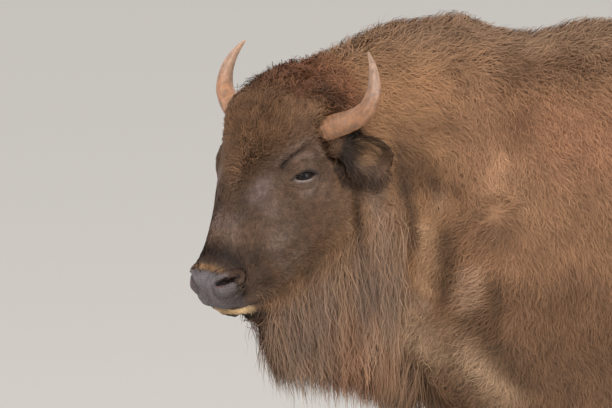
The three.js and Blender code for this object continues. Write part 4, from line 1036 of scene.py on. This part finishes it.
def grow(name):
    """One zone's tufts: their paths, widths, normals and colours, and their places on the skin's map."""
    root, on_map = scattered(name)
    count = len(root)
    shares = zone_shares(root)
    parts = ZONES[name][FIELDS.index("parts")]
    of = {field: shares @ coat_of(field) for field in FIELDS[2:-1]}
    hang = of["hang"][:, None]
    hanging = hang > 0.5
    length = of["length"] * rng.uniform(0.7, 1.25, count)
    length = np.minimum(length, 4 * ZONES[name][FIELDS.index("length")])
    # The curlier the coat, the less level it is, with some tufts that stand out of it.
    rough = np.minimum(of["curl"] / 0.008, 1)
    height = of["depth"] * of["stand"] * (0.6 - 0.2 * rough + (0.55 + 0.5 * rough) * rng.random(count))
    height = height * np.where(rng.random(count) < 0.12, 1 + 0.35 * rough, 1)
    astray = rng.normal(0, 1, (count, 3)) * (0.10 + 70 * of["curl"])[:, None]
    path = np.empty((parts + 1, count, 3))
    normal = unit(sampled(SKIN, root)[1])
    path[0] = root - ROOT_DEPTH * normal
    for part in range(1, parts + 1):
        t = part / parts
        flow = lie(path[part - 1]) + astray
        swept = np.interp(path[part - 1][:, 0] - NECK_BACK, [-0.45, -0.15], [0.32, 0.04])
        down = np.stack([swept, np.zeros(count), -np.ones(count)], axis=1)
        heading = flow * (1 - hang) + down * hang
        slope = unit(sampled(SKIN, path[part - 1])[1])
        into = (heading * slope).sum(1, keepdims=True)
        heading = unit(heading - slope * np.where(hanging, np.minimum(into, 0), into))
        place = path[part - 1] + heading * (length / parts)[:, None]
        distance, slope = sampled(SKIN, place)
        wanted = height * (1 - (1 - t) ** 2)
        lift = np.where(hanging[:, 0], np.maximum(wanted * 0.7 - distance, 0), wanted - distance)
        path[part] = place + unit(slope) * np.clip(lift, -0.02, 0.03)[:, None]

    if name in ("beard", "tuft"):
        path = shortened(path)
    lock, gap = lock_of(root, of["lock"])
    order = np.lexsort((gap, lock))
    first = np.r_[True, lock[order][1:] != lock[order][:-1]]
    leader = np.empty(count, np.int64)
    leader[order] = order[np.flatnonzero(first)[np.cumsum(first) - 1]]
    for part in range(1, parts + 1):
        pull = (of["pull"] * (part / parts) ** 1.2)[:, None]
        path[part] += pull * (path[part][leader] - path[part])

    heading = unit(path[-1] - path[0])
    beside = unit(np.cross(heading, normal))
    phase = rng.uniform(0, 2 * np.pi, count)
    for part in range(1, parts + 1):
        turn = phase + 2 * np.pi * part / parts * length / of["wave"]
        sway = of["curl"] * min(1, 1.5 * part / parts)
        swayed, raised = sway * np.cos(turn), 0.6 * sway * np.sin(turn)
        path[part] += swayed[:, None] * beside + raised[:, None] * normal
    lock_light = lattice(np.stack([lock, lock // 7, lock // 13], axis=1), 9)
    light = 1 + (0.14 + 0.9 * of["pull"]) * (lock_light - 0.5) + rng.normal(0, 0.08, count)
    # A lock has the colour of the place it lies over, a hanging one that of its root.
    seen = path[(parts + 1) // 2] if of["hang"].max() < 0.5 else path[1]
    color = markings_and_painted_light(seen, shares) * np.clip(light, 0.5, 1.6)[:, None]
    # Hanging hair shows its side, wherever it grows from.
    facing = unit(np.where(hanging, normal * np.array([1, 1, 0.3]) + 0.15 * UP, normal))
    return path, of["width"] * rng.uniform(0.8, 1.2, count), facing, color, on_map


def ribbons(name, slot, zones):
    """One piece of the coat, from all the tufts of some zones."""
    all_points, all_normals, all_colors, all_maps, quads, tips = [], [], [], [], [], []
    start = 0
    for zone in zones:
        path, width, normal, color, on_map = grow(zone)
        parts, count = len(path) - 1, len(width)
        roll = rng.uniform(-0.7, 0.7, count)[:, None]
        for part in range(parts + 1):
            t = part / parts
            along = unit(path[min(part + 1, parts)] - path[max(part - 1, 0)])
            beside = unit(np.cross(along, normal))
            beside = beside * np.cos(roll) + np.cross(along, beside) * np.sin(roll)
            half = (0.5 * width * (0.75 + 0.5 * t - 0.6 * t * t))[:, None]
            own_normal = np.cross(beside, along)
            edges = (-1, 1) if part < parts else (0,)
            for edge in edges:
                all_points.append(path[part] + edge * half * beside)
                all_normals.append(unit(0.85 * normal + 0.35 * own_normal + 0.2 * edge * beside))
                all_colors.append(color * (0.91 + 0.14 * t))
                all_maps.append(on_map + np.array([PATCH_WIDTH / 2 * edge, PATCH_LENGTH * (t - 0.5)]))
        first = start + np.arange(count)
        for part in range(parts - 1):
            low = first + 2 * part * count
            quads.append(np.stack([low, low + count, low + 3 * count, low + 2 * count], axis=1))
        low = first + 2 * (parts - 1) * count
        tips.append(np.stack([low, low + count, low + 2 * count], axis=1))
        start += (2 * parts + 1) * count
    made = mesh_object(name, np.concatenate(all_points), [np.concatenate(quads), np.concatenate(tips)])
    made.data.normals_split_custom_set_from_vertices(np.concatenate(all_normals).tolist())
    paint(made, np.concatenate(all_colors))
    lay_map(made, np.concatenate(all_maps))
    take_on(made, slot)
    made.data.materials.append(HAIR)


def lay_map(made, places):
    """The map OFBake from one place for each vertex."""
    layer = made.data.uv_layers.new(name="OFBake")
    corner = np.empty(len(made.data.loops), np.int32)
    made.data.loops.foreach_get("vertex_index", corner)
    layer.data.foreach_set("uv", places[corner].astype(np.float32).ravel())


def unwrapped(made):
    """The map OFBake of the skin, as places of each quad's four corners."""
    bpy.context.view_layer.objects.active = made
    made.select_set(True)
    made.data.uv_layers.new(name="OFBake")
    bpy.ops.object.mode_set(mode="EDIT")
    bpy.ops.mesh.select_all(action="SELECT")
    bpy.ops.uv.smart_project(angle_limit=math.radians(66), island_margin=0.001)
    bpy.ops.object.mode_set(mode="OBJECT")
    place = np.empty(len(made.data.loops) * 2, np.float32)
    made.data.uv_layers["OFBake"].data.foreach_get("uv", place)
    return place.reshape(-1, 4, 2)


def plain_material(name, srgb, roughness):
    made = bpy.data.materials.new(name)
    made.use_nodes = True
    surface = made.node_tree.nodes["Principled BSDF"]
    surface.inputs["Base Color"].default_value = (*linear(srgb), 1)
    surface.inputs["Roughness"].default_value = roughness
    return made


def feed(made, target, inputs):
    """Sets a node's inputs by name, each to a number or to another node's output."""
    for name, value in inputs.items():
        if isinstance(value, bpy.types.NodeSocket):
            made.node_tree.links.new(value, target.inputs[name])
        else:
            target.inputs[name].default_value = value


def add_node(made, kind, inputs, **settings):
    """A new node of a material, with its settings and inputs."""
    added = made.node_tree.nodes.new("ShaderNode" + kind)
    for name, value in settings.items():
        setattr(added, name, value)
    feed(made, added, inputs)
    return added


def tinted_material(name, roughness, specular, grain, relief=0.0):
    """A material that takes the piece's own colours, mottled by fine noise. grain: waves in a metre."""
    made = plain_material(name, (128, 128, 128), roughness)
    surface = made.node_tree.nodes["Principled BSDF"]
    surface.inputs["Specular IOR Level"].default_value = specular
    own_tint = add_node(made, "Attribute", {}, attribute_name="tint").outputs["Color"]
    place = add_node(made, "TexCoord", {}).outputs["Object"]
    mottle = add_node(made, "TexNoise", {"Vector": place, "Scale": grain, "Detail": 3}).outputs["Fac"]
    ranged = {"Value": mottle, "From Min": 0.25, "From Max": 0.75, "To Min": 0.82, "To Max": 1.18}
    light = add_node(made, "MapRange", ranged).outputs["Result"]
    mixed = add_node(made, "VectorMath", {"Vector": own_tint, "Scale": light}, operation="SCALE")
    feed(made, surface, {"Base Color": mixed.outputs["Vector"]})
    if relief:
        raised = add_node(made, "Bump", {"Distance": relief, "Height": mottle})
        feed(made, surface, {"Normal": raised.outputs["Normal"]})
    return made


def skin_material():
    """Short coat, with a fine pebbled and moist surface on the bare nose."""
    made = tinted_material("skin_coat", 0.8, 0.4, 260)
    surface = made.node_tree.nodes["Principled BSDF"]
    moist = add_node(made, "Attribute", {}, attribute_name="moist").outputs["Fac"]
    rough = add_node(made, "MapRange", {"Value": moist, "To Min": 0.8, "To Max": 0.30})
    place = add_node(made, "TexCoord", {}).outputs["Object"]
    pebbles = add_node(made, "TexVoronoi", {"Vector": place, "Scale": 200}, feature="DISTANCE_TO_EDGE")
    rounded = add_node(made, "MapRange", {"Value": pebbles.outputs["Distance"], "From Max": 0.25})
    hairs = add_node(made, "TexNoise", {"Vector": place, "Scale": 420, "Detail": 4})
    either = {"Factor": moist, "A": hairs.outputs["Fac"], "B": rounded.outputs["Result"]}
    relief = add_node(made, "Mix", either).outputs["Result"]
    raised = add_node(made, "Bump", {"Strength": 1.0, "Distance": 0.0016, "Height": relief})
    feed(made, surface, {"Roughness": rough.outputs["Result"], "Normal": raised.outputs["Normal"]})
    return made


# ---- The skin, and the coat over it ----
PLANES = skin_planes()
OUTER, SKIN = skin_field(PLANES)
skin_points, skin_quads = skin_surface()
skin = mesh_object("skin", skin_points, [skin_quads])
take_on(skin, "coat", *[name for name in FLESH + EARS if name not in EYES])
skin_shares = zone_shares(skin_points)
paint(skin, markings_and_painted_light(skin_points, skin_shares) * UNDER_COAT)
paint(skin, np.repeat(in_zone(skin_shares, "nose")[:, None], 3, axis=1), "moist")
SKIN_MAP = unwrapped(skin)
skin.data.materials.append(skin_material())

QUAD_SHARES = skin_shares[skin_quads[:, 0]]
corner = skin_points[skin_quads]
QUAD_AREA = np.linalg.norm(np.cross(corner[:, 2] - corner[:, 0], corner[:, 3] - corner[:, 1]), axis=1) / 2
QUAD_AREA = QUAD_AREA * (1 - in_slit(corner[:, 0]))
HAIR = tinted_material("hair", 0.62, 0.25, 240)
for name, slot, zones in (
    ("coat_face", "face", ("face", "lid")),
    ("coat_ears", "face", ("ear", "cup", "fringe")),
    ("coat_wool", "mane", ("wool",)),
    ("coat_poll", "mane", ("poll",)),
    ("coat_beard", "beard", ("beard",)),
    ("coat_neck", "mane", ("neck",)),
    ("coat_crest", "mane", ("crest",)),
    ("coat_shoulders", "mane", ("shoulder",)),
    ("coat_trunk", "coat", ("back", "flank", "belly")),
    ("coat_rump", "coat", ("rump",)),
    ("coat_legs", "leg", ("thigh", "shank")),
    ("coat_tail", "tail", ("tail", "tuft")),
):
    ribbons(name, slot, zones)


# ---- Horns, eyes and hooves ----
# The middle of her right horn, from within its base to the tip, in the head's frame.
HORN_PATH = [(0.104, -0.100, -0.030), (0.141, -0.119, -0.031), (0.178, -0.140, -0.034),
             (0.204, -0.165, -0.032), (0.213, -0.196, -0.024), (0.208, -0.226, -0.015),
             (0.194, -0.254, -0.008), (0.172, -0.282, -0.001)]
HORN_RADIUS = 0.0245  # at its base
RIGHT_HORN_SHARE = 0.95  # of the left horn's length
HOOF_RING = 0.0058  # from one growth ring of a hoof to the next


def curve(stations, count):
    """Evenly spaced places along a smooth curve through the stations."""
    stations = np.array(stations)
    ends = np.vstack([2 * stations[0] - stations[1], stations, 2 * stations[-1] - stations[-2]])
    dense = []
    for p0, p1, p2, p3 in zip(ends, ends[1:], ends[2:], ends[3:]):
        for t in np.arange(0, 1, 0.05):
            dense.append(0.5 * (2 * p1 + (p2 - p0) * t + (2 * p0 - 5 * p1 + 4 * p2 - p3) * t**2
                                + (3 * p1 - p0 - 3 * p2 + p3) * t**3))
    dense = np.array(dense + [stations[-1]])
    run = np.r_[0, np.cumsum(np.linalg.norm(np.diff(dense, axis=0), axis=1))]
    where = np.linspace(0, run[-1], count)
    return np.stack([np.interp(where, run, dense[:, n]) for n in range(3)], axis=1)


def ring_faces(rings, around):
    """Quads between neighbouring rings of points."""
    ring, spoke = np.meshgrid(np.arange(rings - 1) * around, np.arange(around), indexing="ij")
    low, side = (ring + spoke).ravel(), (ring + (spoke + 1) % around).ravel()
    return np.stack([low, side, side + around, low + around], axis=1)


def round_grid(along, around):
    """Two grids of numbers: those given, one for each ring, and the turn at each of its points."""
    return np.meshgrid(along, np.linspace(0, 2 * np.pi, around, endpoint=False), indexing="ij")


def horn(side, node):
    rings, around = 110, 40
    share = RIGHT_HORN_SHARE if side > 0 else 1.0
    centre = curve(HORN_PATH, 401)[np.linspace(0, 400 * share, rings).astype(int)]
    along = unit(np.gradient(centre, axis=0))
    across = unit(np.cross(along, np.array([0.2, 0.3, 1.0])))
    third = np.cross(along, across)
    t, turn = round_grid(np.linspace(0, 1, rings), around)
    radius = HORN_RADIUS * (1 - t**1.7) ** 0.9 + 0.0016
    radius[-1] = 0.0002
    worn = noise(np.stack([np.cos(turn), np.sin(turn), 9 * t], axis=2), 0.45, 31 + side)
    rings_in_base = np.sin(2 * np.pi * (26 * t + 0.5 * worn)) * np.clip(1 - t / 0.45, 0, 1)
    size = radius * (1 + 0.016 * rings_in_base + 0.020 * worn)
    spoke = across[:, None] * np.cos(turn)[..., None] + third[:, None] * np.sin(turn)[..., None]
    local = centre[:, None] + size[..., None] * spoke
    # Tan, darker at the rough base and paler higher up, with grey in streaks and flecks.
    streak = noise(np.stack([3 * np.cos(turn), 3 * np.sin(turn), 2 * t], axis=2), 0.5, 37)
    fleck = np.clip(noise(local, 0.0065, 38) + 0.5 * noise(local, 0.003, 39), 0, 1)
    color = tinted(
        linear((150, 108, 80)),
        (step(t, 0.0, 0.2), (156, 112, 82)),
        (step(t, 0.5, 0.9), (184, 142, 112)),
        (np.clip(step(t, 0.45, 0.8) * (0.25 + 0.7 * streak), 0, 0.40), (118, 114, 112)),
        (0.5 * fleck, (112, 100, 94)),
    )
    color = color * (1 + 0.22 * streak + 0.16 * rings_in_base + 0.25 * worn)[..., None]
    # Painted light and shade: her right horn is made lighter and her left darker, as the light falls on
    # each.
    color = color * (1.1 if side > 0 else 0.82)
    ends = from_head(np.stack([centre[-1] + 0.0004 * along[-1], centre[0]]), side)
    points = np.vstack([from_head(local.reshape(-1, 3), side), ends])
    tip, root = rings * around, rings * around + 1
    first = np.arange(around)
    last = first + (rings - 1) * around
    caps = np.vstack([np.stack([last, np.roll(last, -1), np.full(around, tip)], axis=1),
                      np.stack([np.roll(first, -1), first, np.full(around, root)], axis=1)])
    quads = ring_faces(rings, around)
    if side < 0:
        quads, caps = quads[:, ::-1], caps[:, ::-1]
    made = mesh_object("visual_" + node, points, [quads, caps])
    at_ends = linear([(120, 110, 104), (150, 114, 90)])
    paint(made, np.vstack([np.clip(color, 0.01, 1).reshape(-1, 3), at_ends]))
    made.data.materials.append(HORN)
    take_on(made, "horn", node)


def eyeball(side, node):
    rings, around = 40, 48
    polar, turn = round_grid(np.linspace(0, np.pi, rings), around)
    back, up = np.sin(polar) * np.cos(turn), np.sin(polar) * np.sin(turn)
    local = EYE_CENTRE + EYE_RADIUS * np.stack([back, up, np.cos(polar)], axis=2) @ EYE_AXES
    dark_white, iris_brown, black = (46, 38, 34), (34, 24, 18), (8, 8, 10)
    iris = step(polar, 0.66, 0.58)
    fibres = noise(np.stack([6 * np.cos(turn), 6 * np.sin(turn), polar], axis=2), 0.5, 41)
    color = tint(linear(dark_white), iris, iris_brown)
    color = color + (0.3 * iris * fibres)[..., None] * linear(iris_brown)
    pupil = step(np.hypot(back / 0.42, up / 0.20), 1.08, 0.95)
    color = tint(color, pupil, black)
    quads = ring_faces(rings, around)
    points = from_head(local.reshape(-1, 3), side)
    made = mesh_object("visual_" + node, points, [quads if side > 0 else quads[:, ::-1]])
    paint(made, color.reshape(-1, 3))
    made.data.materials.append(EYE)
    take_on(made, "eye", node)


def hoof(node):
    """A claw or dewclaw, rounded off and ringed."""
    voxel, margin = 0.0028, 6
    points, triangles = mesh_arrays([node])
    transform = openvdb.createLinearTransform(voxelSize=voxel)
    grid = openvdb.FloatGrid.createLevelSetFromPolygons(
        points, triangles=triangles, transform=transform, halfWidth=margin - 1
    )
    first = np.floor(points.min(0) / voxel).astype(int) - margin
    last = np.ceil(points.max(0) / voxel).astype(int) + margin
    values = np.empty(last - first, np.float32)
    grid.copyToArray(values, ijk=tuple(int(v) for v in first))
    values = blurred(values, 1)
    smooth = openvdb.FloatGrid(float(values.max()))
    smooth.copyFromArray(values)
    cells, quads = smooth.convertToQuads(isovalue=0.0)
    places = (cells + first) * voxel
    height = places[:, 2] + 0.15 * places[:, 0]
    ringed = 0.5 + 0.5 * np.sin(height / HOOF_RING * 2 * np.pi + 2 * noise(places, 0.03, 51))
    places[:, 2] = np.maximum(places[:, 2], 0.0)
    made = mesh_object("visual_" + node, places, [quads[:, ::-1].astype(np.int64)])
    tone = linear((58, 50, 46)) * ((0.8 + 0.35 * ringed) * (1 + 0.25 * noise(places, 0.012, 52)))[:, None]
    paint(made, tint(tone, step(places[:, 2], 0.022, 0.0), (104, 92, 80)))
    made.data.materials.append(HOOF)
    take_on(made, "hoof", node)


HORN = tinted_material("horn", 0.42, 0.45, 190, 0.0006)
HOOF = tinted_material("hoof", 0.5, 0.4, 160, 0.0006)
EYE = tinted_material("eye", 0.18, 0.18, 400)
for side, label in ((1, "right"), (-1, "left")):
    horn(side, "horn_" + label)
    eyeball(side, "eye_" + label)
for node in CLAWS:
    hoof(node)


# ---- Light, ground and camera ----
def place_light(name, place, aim, size, watts, color):
    data = bpy.data.lights.new(name, "AREA")
    data.shape = "DISK"
    data.size = size
    data.energy = watts
    data.color = color
    made = bpy.data.objects.new(name, data)
    bpy.context.scene.collection.objects.link(made)
    made.location = place
    made.rotation_euler = (Vector(aim) - Vector(place)).to_track_quat("-Z", "Y").to_euler()


def studio():
    bpy.ops.mesh.primitive_plane_add(size=40)
    floor = bpy.context.object
    floor.name = "floor"
    floor.data.materials.append(plain_material("pale_floor", (196, 193, 188), 0.9))
    world = bpy.data.worlds.new("studio")
    bpy.context.scene.world = world
    world.use_nodes = True
    background = world.node_tree.nodes["Background"]
    background.inputs["Color"].default_value = (0.90, 0.88, 0.87, 1)
    background.inputs["Strength"].default_value = 1.05
    place_light("key", (-3.0, -5.5, 6.5), (-0.3, 0, 1.0), 6.0, 430, (1.0, 0.97, 0.92))
    place_light("fill", (4.5, -5.0, 3.0), (0.2, 0, 1.0), 4.0, 160, (0.95, 0.97, 1.0))


CAMERA_TURN, CAMERA_RISE = math.radians(-15), math.radians(10)
CAMERA_AWAY = 10.625
AIM_RIGHT, AIM_BELOW = 0.106, 0.0875  # of the point between her eyes, as the camera sees it


def camera():
    """From her left and a little ahead, slightly above."""
    level = math.cos(CAMERA_RISE)
    back = np.array([math.sin(CAMERA_TURN) * level, -math.cos(CAMERA_TURN) * level, math.sin(CAMERA_RISE)])
    right = unit(np.cross(-back, UP))
    aim = BETWEEN_EYES + AIM_RIGHT * right - AIM_BELOW * np.cross(right, -back)
    data = bpy.data.cameras.new("camera")
    data.lens, data.sensor_width = 300, 36
    made = bpy.data.objects.new("camera", data)
    bpy.context.scene.collection.objects.link(made)
    made.location = aim + CAMERA_AWAY * back
    made.rotation_euler = Vector(back).to_track_quat("Z", "Y").to_euler()
    bpy.context.scene.camera = made


studio()
camera()
bpy.context.scene.view_settings.view_transform = "Standard"
